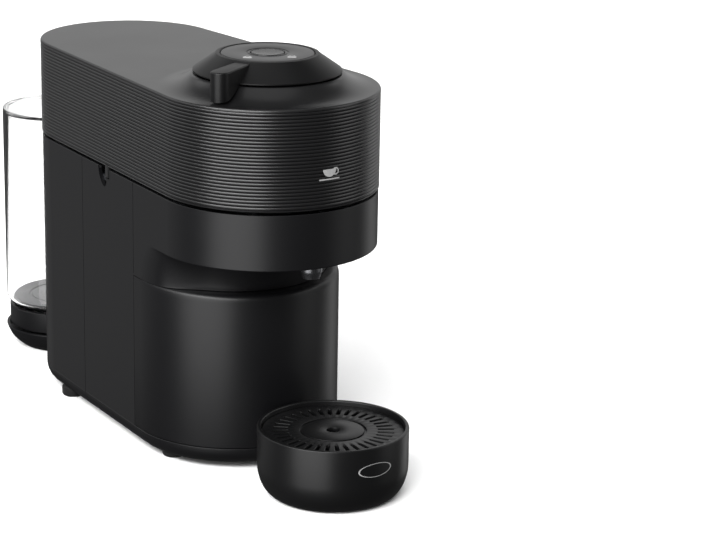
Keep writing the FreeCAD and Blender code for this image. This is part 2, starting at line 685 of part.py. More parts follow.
def make_head_screws():
    head = cyl(0, 0, FLANGE_Z - 1, FLANGE_Z, 3.4)
    screw = fuse([head, cyl(0, 0, FLANGE_Z, FLANGE_TOP, 1.5)])
    places = [(x, y, 0) for x in HEAD_SCREW_XS for y in HEAD_SCREW_YS]
    return Part.makeCompound(spread(screw, places))


# Lever, disc, button and lock drum

def lever_blade():
    inner = 20.0
    half = LEVER_WIDTH / 2
    nose = LEVER_REACH - half
    bottom = TOP_Z + 3.4
    top = KNOB_TOP_Z - 1.0
    base_half = half - 0.8
    arc = Part.Arc(V(nose, -half, 0), V(LEVER_REACH, 0, 0), V(nose, half, 0)).toShape()
    edges = [
        Part.LineSegment(V(inner, -base_half, 0), V(nose, -half, 0)).toShape(),
        arc,
        Part.LineSegment(V(nose, half, 0), V(inner, base_half, 0)).toShape(),
        Part.LineSegment(V(inner, base_half, 0), V(inner, -base_half, 0)).toShape(),
    ]
    blade = prism(edges, bottom, top)
    sweep = revolve([(0, 200), (0, KNOB_BASE_Z), (FLARE_TOP_R - 0.4, KNOB_BASE_Z)]
                    + [(r, z + 1.6) for r, z in reversed(flare_profile(0))]
                    + [(80, TOP_Z + 1.6), (80, 200)], 0, 0)
    blade = blade.cut(sweep)
    blade.rotate(V(0, 0, 0), Z_AXIS, LEVER_ANGLE)
    blade.translate(V(0, BREW_Y, 0))
    return blade


def make_lever_knob():
    cone = revolve([(DISC_R + 0.2, KNOB_BASE_Z), (KNOB_BASE_R, KNOB_BASE_Z),
                    (KNOB_BASE_R, KNOB_BASE_Z + 0.8), (KNOB_TOP_R, KNOB_TOP_Z - 0.9),
                    (KNOB_TOP_R - 0.9, KNOB_TOP_Z), (DISC_R + 0.4, KNOB_TOP_Z),
                    (DISC_R + 0.4, KNOB_TOP_Z - 2.2), (DISC_R - 3, KNOB_TOP_Z - 2.2),
                    (DISC_R - 3, KNOB_BASE_Z + 3), (DISC_R + 0.2, KNOB_BASE_Z + 3)], 0, BREW_Y)
    blade = lever_blade().cut(cyl(0, BREW_Y, 0, 300, DISC_R + 2))
    return fuse([cone, blade])


def make_knob_disc():
    disc = revolve([(BUTTON_R + 0.4, KNOB_TOP_Z - 2.0), (DISC_R, KNOB_TOP_Z - 2.0),
                    (DISC_R, KNOB_TOP_Z - 0.5), (DISC_R - 0.5, KNOB_TOP_Z - 0.1),
                    (BUTTON_R + 0.4, KNOB_TOP_Z - 0.1)], 0, BREW_Y)
    return disc


def make_knob_core():
    """Carrier under the disc: holds the disc, the button and the lock drum."""
    top = KNOB_TOP_Z - 2.2
    return revolve([(6.0, CORE_Z), (CORE_R, CORE_Z), (CORE_R, top), (BUTTON_R + 0.6, top),
                    (BUTTON_R + 0.6, CORE_SEAT_Z), (6.0, CORE_SEAT_Z)], 0, BREW_Y)


def make_lock_drum():
    drum = tube(0, BREW_Y, DRUM_BOTTOM, DRUM_TOP, 52, 50)
    spider = tube(0, BREW_Y, DRUM_TOP - 3, DRUM_TOP, 52, 20)
    sector = Part.makeCylinder(60, 60, V(0, 0, DRUM_BOTTOM), Z_AXIS, DRUM_SPAN)
    sector.rotate(V(0, 0, 0), Z_AXIS, DRUM_START)
    sector.translate(V(0, BREW_Y, 0))
    drum = drum.common(sector)
    stem = tube(0, BREW_Y, DRUM_TOP, CORE_Z, CORE_R, 20)
    lugs = []
    for degrees in (175, 230, 285):
        angle = math.radians(degrees)
        x = 53 * math.cos(angle)
        y = BREW_Y + 53 * math.sin(angle)
        lugs.append(cyl(x, y, DRUM_BOTTOM, DRUM_BOTTOM + 2.8, 3.2))
    return fuse([drum, spider, stem] + lugs)


def make_brew_button():
    underside = KNOB_TOP_Z - 2.6
    return revolve([(0, CORE_SEAT_Z + 2), (2.4, CORE_SEAT_Z + 2), (2.4, underside),
                    (BUTTON_R, underside), (BUTTON_R, KNOB_TOP_Z - 0.3),
                    (BUTTON_R - 0.4, KNOB_TOP_Z), (0, KNOB_TOP_Z)], 0, BREW_Y)


def make_button_dome():
    """Silicone dome that pushes the button back up."""
    z0 = CORE_SEAT_Z
    z1 = KNOB_TOP_Z - 2.6
    return revolve([(8.2, z0), (9.8, z0), (9.8, z0 + 0.7), (8.8, z0 + 0.7), (6.2, z1), (3.0, z1),
                    (3.0, z1 - 0.6), (5.7, z1 - 0.6), (8.2, z0 + 0.5)], 0, BREW_Y)


# Container with cup support

def make_container_shell():
    gap = CLEAR
    z0 = TOE_Z + gap
    z1 = LEDGE_Z - gap
    front = column_prism(BODY_INSET, z0, z1)
    front = front.common(box(-100, 100, -200, BAY_Y - gap, 0, 200))
    top = edges_at(front, z1)
    outer_top = [e for e in top if e.BoundBox.YMin < BAY_Y - gap - 1]
    front = front.makeFillet(1.6, outer_top)
    room = column_prism(BODY_INSET + WALL, z0 + WALL, z1 + 5)
    room = room.common(box(-100, 100, -107, BAY_Y + 10, 0, 200))
    lip_room = column_prism(BODY_INSET + WALL, z0 + WALL, z1 - WALL)
    return front.cut(room).cut(lip_room)


def make_capsule_bin():
    outer = fuse([column_prism(BODY_INSET + WALL + 0.3, 18.2, 108.0).common(
        box(-100, 100, -200, BAY_Y - 1, 0, 200)), box(-50, 50, BAY_Y - 2, BIN_REAR, 18.2, 108.0)])
    inner = fuse([column_prism(BODY_INSET + WALL + 1.9, 19.8, 120).common(
        box(-100, 100, -200, BAY_Y - 2.6, 0, 200)), box(-48.4, 48.4, BAY_Y - 4, BIN_REAR - 1.6, 19.8, 120)])
    return outer.cut(inner)


def make_tray_arm():
    column_r = column_radius() - BODY_INSET
    arm = box(-16, 16, TRAY_Y + 40, COLUMN_Y - column_r + 4, 19, 30)
    arm = arm.cut(cyl(0, TRAY_Y, 0, 60, TRAY_R + 0.05))
    return arm.cut(column_prism(BODY_INSET - 0.05, 0, 200))


def make_drip_tray():
    rim = TRAY_RIM_Z
    r = TRAY_R
    profile = [(0, 0), (r - 10.5, 0), (r - 7.4, 1.0), (r - 4.6, 3.0), (r - 2.4, 5.9), (r - 1.0, 9.6),
               (r - 0.3, 14.0), (r, 20.0), (r, rim - 0.7), (r - 0.7, rim), (r - TRAY_WALL + 0.4, rim),
               (r - TRAY_WALL, rim - 0.6), (r - TRAY_WALL, rim - 6.4), (r - TRAY_WALL - 2, rim - 6.4),
               (r - TRAY_WALL - 2, 14.0), (r - 8, 5.6), (r - 13, 2.4), (0, 2.4)]
    return revolve(profile, 0, TRAY_Y)


def make_drip_grid():
    radius = TRAY_R - TRAY_WALL - CLEAR
    z0 = TRAY_RIM_Z - 6.2
    z1 = TRAY_RIM_Z - 3.0
    grid = cyl(0, TRAY_Y, z0, z1, radius)
    cuts = []
    for i in range(SLOT_COUNT):
        slot = box(radius - 16, radius - 6, -1.05, 1.05, z0 - 1, z1 + 1)
        slot.rotate(V(0, 0, 0), Z_AXIS, 360 * i / SLOT_COUNT)
        slot.translate(V(0, TRAY_Y, 0))
        cuts.append(slot)
    ring = tube(0, TRAY_Y, z1 - 1.2, z1 + 1, 20, 18.6)
    return grid.cut(Part.makeCompound(cuts)).cut(ring).cut(cyl(0, TRAY_Y, 0, 100, 4))


# Water tank

def make_tank_wall():
    r = TANK_R
    z0 = TANK_FLOOR_Z
    top = TANK_TOP_Z - 1.9
    return revolve([(5.0, z0), (r - 8, z0), (r - 4, z0 + 1.1), (r - 1.1, z0 + 4), (r, z0 + 8), (r, top),
                    (r - TANK_WALL, top), (r - TANK_WALL, z0 + 8.4), (r - TANK_WALL - 1, z0 + 5.2),
                    (r - TANK_WALL - 3.2, z0 + 3), (r - 9, z0 + 2), (5.0, z0 + 2)], 0, TANK_Y)


def make_tank_floor():
    z0 = TANK_FLOOR_Z + 3.2
    return revolve([(7.0, z0), (32.4, z0), (34.4, z0 + 2.0), (7.0, z0 + 2.0)], 0, TANK_Y)


def make_tank_collar():
    z1 = TANK_FLOOR_Z - 0.05
    ring = revolve([(4.6, COLLAR_Z), (COLLAR_R - 1, COLLAR_Z), (COLLAR_R, COLLAR_Z + 1), (COLLAR_R, z1),
                    (COLLAR_R - 2.4, z1), (COLLAR_R - 2.4, COLLAR_Z + 2.4), (7.0, COLLAR_Z + 2.4),
                    (7.0, z1), (4.6, z1)], 0, TANK_Y)
    return ring


def make_tank_lid():
    z1 = TANK_TOP_Z
    plug_r = TANK_R - TANK_WALL - CLEAR
    return revolve([(0, z1 - 2.6), (plug_r - 2, z1 - 2.6), (plug_r - 2, z1 - 5.0), (plug_r, z1 - 5.0),
                    (plug_r, z1 - 1.7), (TANK_R, z1 - 1.7), (TANK_R, z1 - 0.6), (TANK_R - 0.6, z1),
                    (TANK_R - 3, z1), (TANK_R - 4, z1 - 0.8), (0, z1 - 0.8)], 0, TANK_Y)


def make_tank_valve():
    seat = TANK_FLOOR_Z + 2
    return revolve([(0, COLLAR_Z + 0.4), (3.2, COLLAR_Z + 0.4), (3.2, seat + 0.2), (6.2, seat + 0.2),
                    (6.2, seat + 2.2), (2.0, seat + 2.2), (2.0, seat + 5), (0, seat + 5)], 0, TANK_Y)


def make_valve_cage():
    z0 = TANK_FLOOR_Z + 5.4
    cage = tube(0, TANK_Y, z0, z0 + 10, 9.4, 7.6)
    lid = cyl(0, TANK_Y, z0 + 9, z0 + 10.6, 9.4)
    cage = fuse([cage, lid])
    for i in range(4):
        window = box(5, 12, -2, 2, z0 + 2, z0 + 8)
        window.rotate(V(0, 0, 0), Z_AXIS, 90 * i)
        window.translate(V(0, TANK_Y, 0))
        cage = cage.cut(window)
    return cage


def make_valve_spring():
    return coil_spring(0, TANK_Y, TANK_FLOOR_Z + 4.2, TANK_FLOOR_Z + 14.4, 3.6, 0.4, 5)


PARTS = {
    "body_shell": make_body_shell,
    "base_plate": make_base_plate,
    "rubber_feet": make_feet,
    "inner_deck": make_inner_deck,
    "coffee_collector": make_coffee_collector,
    "coffee_spout": make_coffee_spout,
    "holder_bearing": make_holder_bearing,
    "lock_ring": make_lock_ring,
    "eject_chute": make_eject_chute,
    "pump": make_pump,
    "pump_mounts": make_pump_mounts,
    "pump_bracket": make_pump_bracket,
    "flow_meter": make_flow_meter,
    "boiler": make_boiler,
    "feed_hose": make_feed_hose,
    "pump_hose": make_pump_hose,
    "boiler_hose": make_boiler_hose,
    "brew_hose": make_brew_hose,
    "head_hose": make_head_hose,
    "control_board": make_control_board,
    "board_parts": make_board_parts,
    "board_frame": make_board_frame,
    "cord_gland": make_cord_gland,
    "tank_holder": make_tank_holder,
    "inlet_seal": make_inlet_seal,
    "hinge_bracket": make_hinge_bracket,
    "hinge_pin": make_hinge_pin,
    "base_screws": make_base_screws,
    "capsule_holder": make_capsule_holder,
    "head_cap": make_head_cap,
    "head_floor": make_head_floor,
    "hinge_shroud": make_hinge_shroud,
    "brew_carrier": make_brew_carrier,
    "spindle_bearing": make_spindle_bearing,
    "brew_motor": make_brew_motor,
    "drive_belt": make_drive_belt,
    "head_screws": make_head_screws,
    "brew_bell": make_brew_bell,
    "motor_shaft": make_motor_shaft,
    "lever_knob": make_lever_knob,
    "knob_disc": make_knob_disc,
    "knob_core": make_knob_core,
    "lock_drum": make_lock_drum,
    "brew_button": make_brew_button,
    "button_dome": make_button_dome,
    "container_shell": make_container_shell,
    "capsule_bin": make_capsule_bin,
    "tray_arm": make_tray_arm,
    "drip_tray": make_drip_tray,
    "drip_grid": make_drip_grid,
    "tank_wall": make_tank_wall,
    "tank_floor": make_tank_floor,
    "tank_collar": make_tank_collar,
    "tank_lid": make_tank_lid,
    "tank_valve": make_tank_valve,
    "valve_cage": make_valve_cage,
    "valve_spring": make_valve_spring,
}

for name, maker in PARTS.items():
    export(name, maker())

export("hinge_knuckles", Part.makeCompound(make_hinge_knuckles()))
export("spindle_pulley", make_pulley(BREW_Y, SPINDLE_PULLEY_R, STUB_R))
export("motor_pulley", make_pulley(MOTOR_Y, MOTOR_PULLEY_R, 3.1))
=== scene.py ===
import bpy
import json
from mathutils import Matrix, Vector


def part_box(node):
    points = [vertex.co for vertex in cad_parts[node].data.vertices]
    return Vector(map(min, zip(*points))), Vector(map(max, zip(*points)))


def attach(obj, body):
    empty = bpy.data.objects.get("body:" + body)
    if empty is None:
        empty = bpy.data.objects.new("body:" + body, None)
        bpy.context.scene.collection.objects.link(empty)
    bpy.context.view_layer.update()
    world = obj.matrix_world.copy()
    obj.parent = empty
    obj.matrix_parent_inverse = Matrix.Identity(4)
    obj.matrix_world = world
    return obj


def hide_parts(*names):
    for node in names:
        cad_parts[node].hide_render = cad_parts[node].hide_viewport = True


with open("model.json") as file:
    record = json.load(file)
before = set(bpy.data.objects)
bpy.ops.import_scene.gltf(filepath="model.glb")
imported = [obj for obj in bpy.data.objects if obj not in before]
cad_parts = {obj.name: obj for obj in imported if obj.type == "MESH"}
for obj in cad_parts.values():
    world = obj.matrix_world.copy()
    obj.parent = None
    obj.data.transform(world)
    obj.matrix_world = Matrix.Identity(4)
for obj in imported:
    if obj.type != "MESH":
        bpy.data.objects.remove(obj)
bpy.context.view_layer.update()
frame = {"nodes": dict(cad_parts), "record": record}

import json
import math

import bmesh
import bpy
from bpy.props import FloatProperty, FloatVectorProperty, IntProperty, PointerProperty
from mathutils import Matrix, Vector

bl_info = {
    "name": "Pod Coffee Machine",
    "version": (1, 0, 0),
    "blender": (4, 5, 0),
    "location": "3D View > Sidebar > Machine",
    "description": "Builds the visible covers, knob, cup stand and tank of a pod coffee machine",
    "category": "Object",
}

MM = 0.001
UP = Vector((0, 0, 1))

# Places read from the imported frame, in metres
CAP_LOW, CAP_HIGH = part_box("head_cap")
BODY_LOW, BODY_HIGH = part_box("body_shell")
KNOB_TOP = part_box("lever_knob")[1].z
DISC_LOW, DISC_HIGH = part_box("knob_disc")
BUTTON_LOW, BUTTON_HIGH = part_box("brew_button")
FRONT_LOW, FRONT_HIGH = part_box("container_shell")
TRAY_LOW, TRAY_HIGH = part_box("drip_tray")
GRID_LOW, GRID_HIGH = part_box("drip_grid")
SPOUT_LOW, SPOUT_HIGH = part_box("coffee_spout")
TANK_LOW, TANK_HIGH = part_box("tank_wall")
LID_LOW, LID_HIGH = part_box("tank_lid")
COLLAR_LOW, COLLAR_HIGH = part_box("tank_collar")
PLATE_LOW, PLATE_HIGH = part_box("tank_floor")
FEET_LOW, FEET_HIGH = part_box("rubber_feet")
SHROUD_LOW, SHROUD_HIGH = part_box("hinge_shroud")
PIN_LOW, PIN_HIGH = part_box("hinge_pin")
GLAND_LOW, GLAND_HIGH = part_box("cord_gland")

HEAD_R = CAP_HIGH.x
BREW_Y = CAP_LOW.y + HEAD_R
TRAY_Y = (TRAY_LOW.y + TRAY_HIGH.y) / 2
TANK_Y = (TANK_LOW.y + TANK_HIGH.y) / 2
HINGE_Y = (PIN_LOW.y + PIN_HIGH.y) / 2
SEAM_Z = (PIN_LOW.z + PIN_HIGH.z) / 2


def srgb(code):
    """Linear colour from an sRGB hex value."""
    parts = [int(code[i:i + 2], 16) / 255 for i in (1, 3, 5)]
    return [c / 12.92 if c <= 0.04045 else ((c + 0.055) / 1.055) ** 2.4 for c in parts]


# Sizes and colours that a user may change

def length(name, about, millimetres):
    return FloatProperty(name=name, description=about, default=millimetres * MM, min=0,
                         unit="LENGTH", precision=5)


def colour(name, about, code):
    return FloatVectorProperty(name=name, description=about, default=srgb(code), size=3,
                               min=0, max=1, subtype="COLOR")


class MachineSizes(bpy.types.PropertyGroup):
    rear_radius: length("Rear radius", "Radius of the machine's rounded rear end", 57.6)
    crown_height: length("Crown height", "Height of the cap's flat top above the table", 234)
    seam_gap: length("Seam gap", "Gap between the cap and the body", 2.0)
    rib_depth: length("Rib depth", "Depth of the grooves between the cap's ribs", 0.82)
    rib_count: IntProperty(name="Ribs", description="Ribs up the cap's side", default=28, min=4, max=60)
    crown_round: length("Crown rounding", "Rounding between the cap's side and its top", 1.3)
    flare_radius: length("Flare radius", "Where the concave flare round the knob begins", 66.2)
    flare_top: length("Flare top radius", "Radius of the flare's upper lip", 45.6)
    flare_rise: length("Flare rise", "Height of the flare above the cap's top", 8)
    wall: length("Wall", "Wall of the moulded covers", 2.4)
    band_height: length("Band underside", "Height of the head band's lower edge", 137.1)
    ledge_height: length("Ledge", "Height of the shoulder over the container", 112.7)
    toe_height: length("Toe", "Height of the toe under the container", 14.5)
    cove_depth: length("Cove depth", "How far the cove is scooped out of the column's front", 8.2)
    cove_round: length("Cove rounding", "How far the cove curls forward under the head band", 15)
    lever_width: length("Lever width", "Width of the lever blade", 11.6)


class MachineColours(bpy.types.PropertyGroup):
    body: colour("Body", "Satin black of the body", "#131315")
    cap: colour("Cap", "Dark grey of the ribbed cap", "#1a1a1b")
    lever: colour("Lever", "Dark grey of the knob and its lever", "#101011")
    disc: colour("Disc", "Semi-gloss black of the knob's disc", "#1a1a1c")
    tray: colour("Cup stand", "Satin black of the cup stand", "#131314")
    tank: colour("Tank", "Clear tank wall", "#f6f6f6")
    tank_plate: colour("Tank plate", "Grey plate in the tank", "#444548")
    print_ink: colour("Print", "White pad-printed marks", "#d8d8d8")
    floor: colour("Floor", "Pale studio floor", "#f7f7f7")


# Materials

def add_node(tree, kind, inputs=None, links=None, **settings):
    """Adds one shader node with its settings, values and incoming links."""
    node = tree.nodes.new(kind)
    for key, value in settings.items():
        setattr(node, key, value)
    for key, value in (inputs or {}).items():
        node.inputs[key].default_value = value
    for key, socket in (links or {}).items():
        tree.links.new(socket, node.inputs[key])
    return node


def new_material(name, base, roughness, metallic=0.0, ior=1.5):
    """A material with its tree, its shader and the object's own coordinates."""
    material = bpy.data.materials.new(name)
    material.use_nodes = True
    tree = material.node_tree
    shader = tree.nodes["Principled BSDF"]
    shader.inputs["Base Color"].default_value = (*base, 1)
    shader.inputs["Roughness"].default_value = roughness
    shader.inputs["Metallic"].default_value = metallic
    shader.inputs["IOR"].default_value = ior
    place = add_node(tree, "ShaderNodeTexCoord").outputs["Object"]
    return material, tree, shader, place


NOISE_LOW, NOISE_HIGH = 0.3, 0.7        # most of a noise's values lie between these


def vary(tree, shader, pattern, tone=None, gloss=None, relief=None):
    """Lets a pattern work on a surface: through two shares of its colour, two values of its
    roughness, or a relief given as its strength and its depth in millimetres."""
    if tone:
        base = shader.inputs["Base Color"].default_value[:3]
        ramp = add_node(tree, "ShaderNodeValToRGB", links={"Fac": pattern})
        for element, place, share in zip(ramp.color_ramp.elements, (NOISE_LOW, NOISE_HIGH), tone):
            element.position = place
            element.color = (*[min(1, c * share) for c in base], 1)
        tree.links.new(ramp.outputs["Color"], shader.inputs["Base Color"])
    if gloss:
        spread = {"From Min": NOISE_LOW, "From Max": NOISE_HIGH, "To Min": gloss[0], "To Max": gloss[1]}
        drift = add_node(tree, "ShaderNodeMapRange", spread, {"Value": pattern})
        tree.links.new(drift.outputs["Result"], shader.inputs["Roughness"])
    if relief:
        strength, depth = relief
        bump = add_node(tree, "ShaderNodeBump", {"Strength": strength, "Distance": depth * MM},
                        {"Height": pattern})
        tree.links.new(bump.outputs["Normal"], shader.inputs["Normal"])


def spark_moulded(name, base, roughness, ior=1.54, grain=0.8, depth=0.012):
    """Plastic moulded against a spark-eroded tool: a fine even grain that spreads highlights
    into a soft satin sheen, with a slow drift in gloss where the melt flowed."""
    material, tree, shader, place = new_material(name, base, roughness, ior=ior)
    flow = add_node(tree, "ShaderNodeTexNoise", {"Scale": 1 / (45 * MM), "Detail": 2.0}, {"Vector": place})
    # the real grain is about 0.1 mm, and is drawn as coarse as it needs to show
    pits = add_node(tree, "ShaderNodeTexNoise", {"Scale": 1 / (grain * MM), "Detail": 3.0, "Roughness": 0.6},
                    {"Vector": place})
    vary(tree, shader, flow.outputs["Fac"], (0.97, 1.03), (roughness - 0.01, roughness + 0.01))
    vary(tree, shader, pits.outputs["Fac"], relief=(0.5, depth))
    return material


def polished_moulded(name, base, roughness, ior=1.58):
    """Polycarbonate moulded against a polished tool: clear reflections, with faint handling haze."""
    material, tree, shader, place = new_material(name, base, roughness, ior=ior)
    haze = add_node(tree, "ShaderNodeTexNoise", {"Scale": 1 / (6 * MM), "Detail": 4.0}, {"Vector": place})
    vary(tree, shader, haze.outputs["Fac"], (0.96, 1.05), (roughness - 0.03, roughness + 0.05))
    return material


def milky_moulded(name, base, roughness, ior=1.49):
    """Unpainted polypropylene or acetal: waxy, with slow cloudiness and a soft moulded skin."""
    material, tree, shader, place = new_material(name, base, roughness, ior=ior)
    cloud = add_node(tree, "ShaderNodeTexNoise", {"Scale": 1 / (14 * MM), "Detail": 3.0}, {"Vector": place})
    pits = add_node(tree, "ShaderNodeTexNoise", {"Scale": 1 / (1.2 * MM)}, {"Vector": place})
    vary(tree, shader, cloud.outputs["Fac"], (0.9, 1.08), (roughness - 0.06, roughness + 0.06))
    vary(tree, shader, pits.outputs["Fac"], relief=(0.4, 0.02))
    return material


def worked_metal(name, base, roughness, streak=(1, 1, 0.05), pitch=0.5):
    """Drawn, pressed or turned metal: fine streaks one way that stretch its highlights."""
    material, tree, shader, place = new_material(name, base, roughness, metallic=1.0)
    turned = add_node(tree, "ShaderNodeMapping", {"Scale": streak}, {"Vector": place})
    lines = add_node(tree, "ShaderNodeTexNoise", {"Scale": 1 / (pitch * MM), "Detail": 2.0},
                     {"Vector": turned.outputs["Vector"]})
    stain = add_node(tree, "ShaderNodeTexNoise", {"Scale": 1 / (18 * MM), "Detail": 3.0}, {"Vector": place})
    vary(tree, shader, stain.outputs["Fac"], (0.86, 1.04))
    vary(tree, shader, lines.outputs["Fac"], gloss=(roughness - 0.06, roughness + 0.1), relief=(0.3, 0.01))
    return material


def cast_metal(name, base, roughness=0.48):
    """Die-cast aluminium: pale and dull, with a pebbled skin and darker flow marks."""
    material, tree, shader, place = new_material(name, base, roughness, metallic=1.0)
    skin = add_node(tree, "ShaderNodeTexVoronoi", {"Scale": 1 / (1.6 * MM)}, {"Vector": place})
    marks = add_node(tree, "ShaderNodeTexNoise", {"Scale": 1 / (9 * MM), "Detail": 5.0}, {"Vector": place})
    vary(tree, shader, marks.outputs["Fac"], (0.78, 1.05))
    vary(tree, shader, skin.outputs["Distance"], relief=(0.35, 0.05))
    return material


def soft_rubber(name, base, roughness=0.68):
    """Moulded rubber or silicone: no clear reflection, a dusty bloom and a soft sheen at the edges."""
    material, tree, shader, place = new_material(name, base, roughness, ior=1.43)
    shader.inputs["Sheen Weight"].default_value = 0.12
    shader.inputs["Sheen Roughness"].default_value = 0.5
    bloom = add_node(tree, "ShaderNodeTexNoise", {"Scale": 1 / (5 * MM), "Detail": 6.0}, {"Vector": place})
    vary(tree, shader, bloom.outputs["Fac"], (0.85, 1.25), relief=(0.3, 0.04))
    return material


def clear_moulded(name, base, roughness=0.015, ior=1.52):
    """Clear styrene copolymer: bright edge lines and mirror-like skin, with faint water haze."""
    material, tree, shader, place = new_material(name, base, roughness, ior=ior)
    shader.inputs["Transmission Weight"].default_value = 1.0
    haze = add_node(tree, "ShaderNodeTexNoise", {"Scale": 1 / (22 * MM), "Detail": 2.0}, {"Vector": place})
    vary(tree, shader, haze.outputs["Fac"], gloss=(roughness, roughness + 0.03))
    return material


def printed_ink(name, base):
    """Pad-printed ink: a thin matt white film whose edge breaks up slightly over the grain."""
    material, tree, shader, place = new_material(name, base, 0.5, ior=1.48)
    film = add_node(tree, "ShaderNodeTexNoise", {"Scale": 1 / (0.9 * MM), "Detail": 3.0}, {"Vector": place})
    vary(tree, shader, film.outputs["Fac"], (0.88, 1.05))
    return material


def solder_masked(name, base):
    """Glass-epoxy board under green solder mask: glossy, with copper tracks faintly showing."""
    material, tree, shader, place = new_material(name, base, 0.3, ior=1.55)
    shades = {key: (*[min(1, c * share) for c in base], 1)
              for key, share in (("Color1", 1.0), ("Color2", 0.7), ("Mortar", 1.7))}
    tracks = add_node(tree, "ShaderNodeTexBrick", {"Scale": 1 / (9 * MM), "Mortar Size": 0.06, **shades},
                      {"Vector": place})
    tree.links.new(tracks.outputs["Color"], shader.inputs["Base Color"])
    vary(tree, shader, tracks.outputs["Fac"], relief=(0.4, 0.03))
    return material


# Slot: the material's name, how it is made, its colour or the user's, and its maker's own values
FINISHES = {
    "body_plastic": ("ABS body, spark-eroded", spark_moulded, "body", 0.38),
    "cap_plastic": ("ABS cap, satin lacquered", spark_moulded, "cap", 0.3, 1.75),
    "lever_plastic": ("ABS knob, satin moulded", spark_moulded, "lever", 0.4, 1.46),
    "disc_plastic": ("PC disc, fine satin", spark_moulded, "disc", 0.3, 1.58, 0.5, 0.006),
    "button_plastic": ("PC button, polished", polished_moulded, "disc", 0.26),
    "tray_plastic": ("ABS cup stand, satin moulded", spark_moulded, "tray", 0.36),
    "inner_plastic": ("PP inner part, moulded", milky_moulded, "#2f3033", 0.5),
    "holder_plastic": ("PP tank holder, moulded", spark_moulded, "#121214", 0.46, 1.49),
    "clear_plastic": ("SAN tank, clear moulded", clear_moulded, "tank"),
    "grey_plastic": ("POM wheel, grey moulded", milky_moulded, "#8f9194", 0.4),
    "steel": ("Steel, turned", worked_metal, "#c9c9cb", 0.26),
    "pressed_steel": ("Steel, zinc plated and pressed", worked_metal, "#b4b7ba", 0.36, (1, 0.06, 1), 0.8),
    "aluminium": ("Aluminium, die cast", cast_metal, "#c8cacc"),
    "rubber": ("EPDM rubber, moulded", soft_rubber, "#1b1b1b"),
    "silicone": ("Silicone, extruded", soft_rubber, "#d9d8d2", 0.5),
    "board": ("FR4 board, solder masked", solder_masked, "#1f5a35"),
    "spout_metal": ("Stainless spout, satin", worked_metal, "#8c8d90", 0.3, (1, 1, 0.04), 0.4),
    "print": ("White ink, pad printed", printed_ink, "print_ink"),
    "tank_plate": ("POM tank plate, moulded", milky_moulded, "tank_plate", 0.35, 1.48),
}


def finish_for(look):
    """One material of the list, made on first use."""
    name, make, shade, *values = FINISHES[look]
    base = srgb(shade) if shade.startswith("#") else getattr(bpy.context.scene.machine_colours, shade)
    return bpy.data.materials.get(name) or make(name, base, *values)


# Mesh tools

FRONT_STEPS = 80
REAR_STEPS = 56
ROUND_STEPS = 128
INK = 0.03 * MM            # how far a printed mark stands off its wall


def sizes():
    return bpy.context.scene.machine_sizes


def plan(inset=0.0, slide=0.0):
    """The two circles that the machine's outline goes round, and how far its sides lean.
    Slide moves the front circle back along the straight sides."""
    rear_r = sizes().rear_radius
    rear_y = CAP_HIGH.y - rear_r
    taper = (HEAD_R - rear_r) / (rear_y - BREW_Y)
    return (BREW_Y + slide, rear_y), (HEAD_R - taper * slide - inset, rear_r - inset), math.asin(taper)


def slide_to(front_y, inset):
    """The slide that brings the outline's front to a place."""
    taper = math.sin(plan()[2])
    return (front_y - inset - BREW_Y + HEAD_R) / (1 + taper)


def spot(angle, end, at, z):
    """A place on the front or the rear circle of an outline."""
    return Vector((at[1][end] * math.cos(angle), at[0][end] + at[1][end] * math.sin(angle), z))


def outline(bm, at, z):
    """Closed loop of edges round two circles of different size and their common tangents."""
    turn = bm.verts.layers.float.new("turn")
    rear = bm.verts.layers.int.new("rear")
    lean = at[2]
    arcs = []
    for end, start, sweep, steps in ((0, lean, math.pi + 2 * lean, FRONT_STEPS),
                                     (1, math.pi - lean, math.pi - 2 * lean, REAR_STEPS)):
        first = bm.verts.new(spot(start, end, at, z))
        bmesh.ops.spin(bm, geom=[first], cent=(0, at[0][end], z), axis=UP, angle=-sweep, steps=steps)
        bm.verts.ensure_lookup_table()
        arc = bm.verts[-(steps + 1):]
        for step, vert in enumerate(arc):
            vert[turn] = start - sweep * step / steps
            vert[rear] = end
            vert.co = spot(vert[turn], end, at, z)
        arcs.append(arc)
    bm.edges.new((arcs[0][-1], arcs[1][0]))
    bm.edges.new((arcs[1][-1], arcs[0][0]))
    return list({edge for arc in arcs for vert in arc for edge in vert.link_edges})


def pulled(bm, loop):
    """Extrudes a loop of edges, and returns its new points and edges."""
    made = bmesh.ops.extrude_edge_only(bm, edges=loop)["geom"]
    points = {g for g in made if isinstance(g, bmesh.types.BMVert)}
    return points, [g for g in made if isinstance(g, bmesh.types.BMEdge) and points.issuperset(g.verts)]


def lift(bm, loop, at, z, hollow=0.0):
    """Extrudes an outline loop to another height, inset or slide."""
    turn = bm.verts.layers.float["turn"]
    rear = bm.verts.layers.int["rear"]
    points, edges = pulled(bm, loop)
    for vert in points:
        vert.co = spot(vert[turn], vert[rear], at, z)
    if hollow:
        scoop(bm, points, hollow)
    return edges


def scoop(bm, points, depth):
    """Presses the front of an outline inwards, fading out before its sides."""
    turn = bm.verts.layers.float["turn"]
    rear = bm.verts.layers.int["rear"]
    for vert in points:
        if not vert[rear]:
            share = min(1, max(0, (-math.sin(vert[turn]) - 0.2) / 0.5))
            out = Vector((math.cos(vert[turn]), math.sin(vert[turn]), 0))
            vert.co -= out * depth * share * share * (3 - 2 * share)


def side_at(at, y):
    """How far out the outline's straight sides are at a place along the machine."""
    return (at[1][0] - (y - at[0][0]) * math.sin(at[2])) / math.cos(at[2])


def widen(bm, loop, centre_y, radius, z):
    """Extrudes a round loop to another radius and height."""
    points, edges = pulled(bm, loop)
    for vert in points:
        out = Vector((vert.co.x, vert.co.y - centre_y, 0)).normalized() * radius
        vert.co = Vector((out.x, centre_y + out.y, z))
    return edges


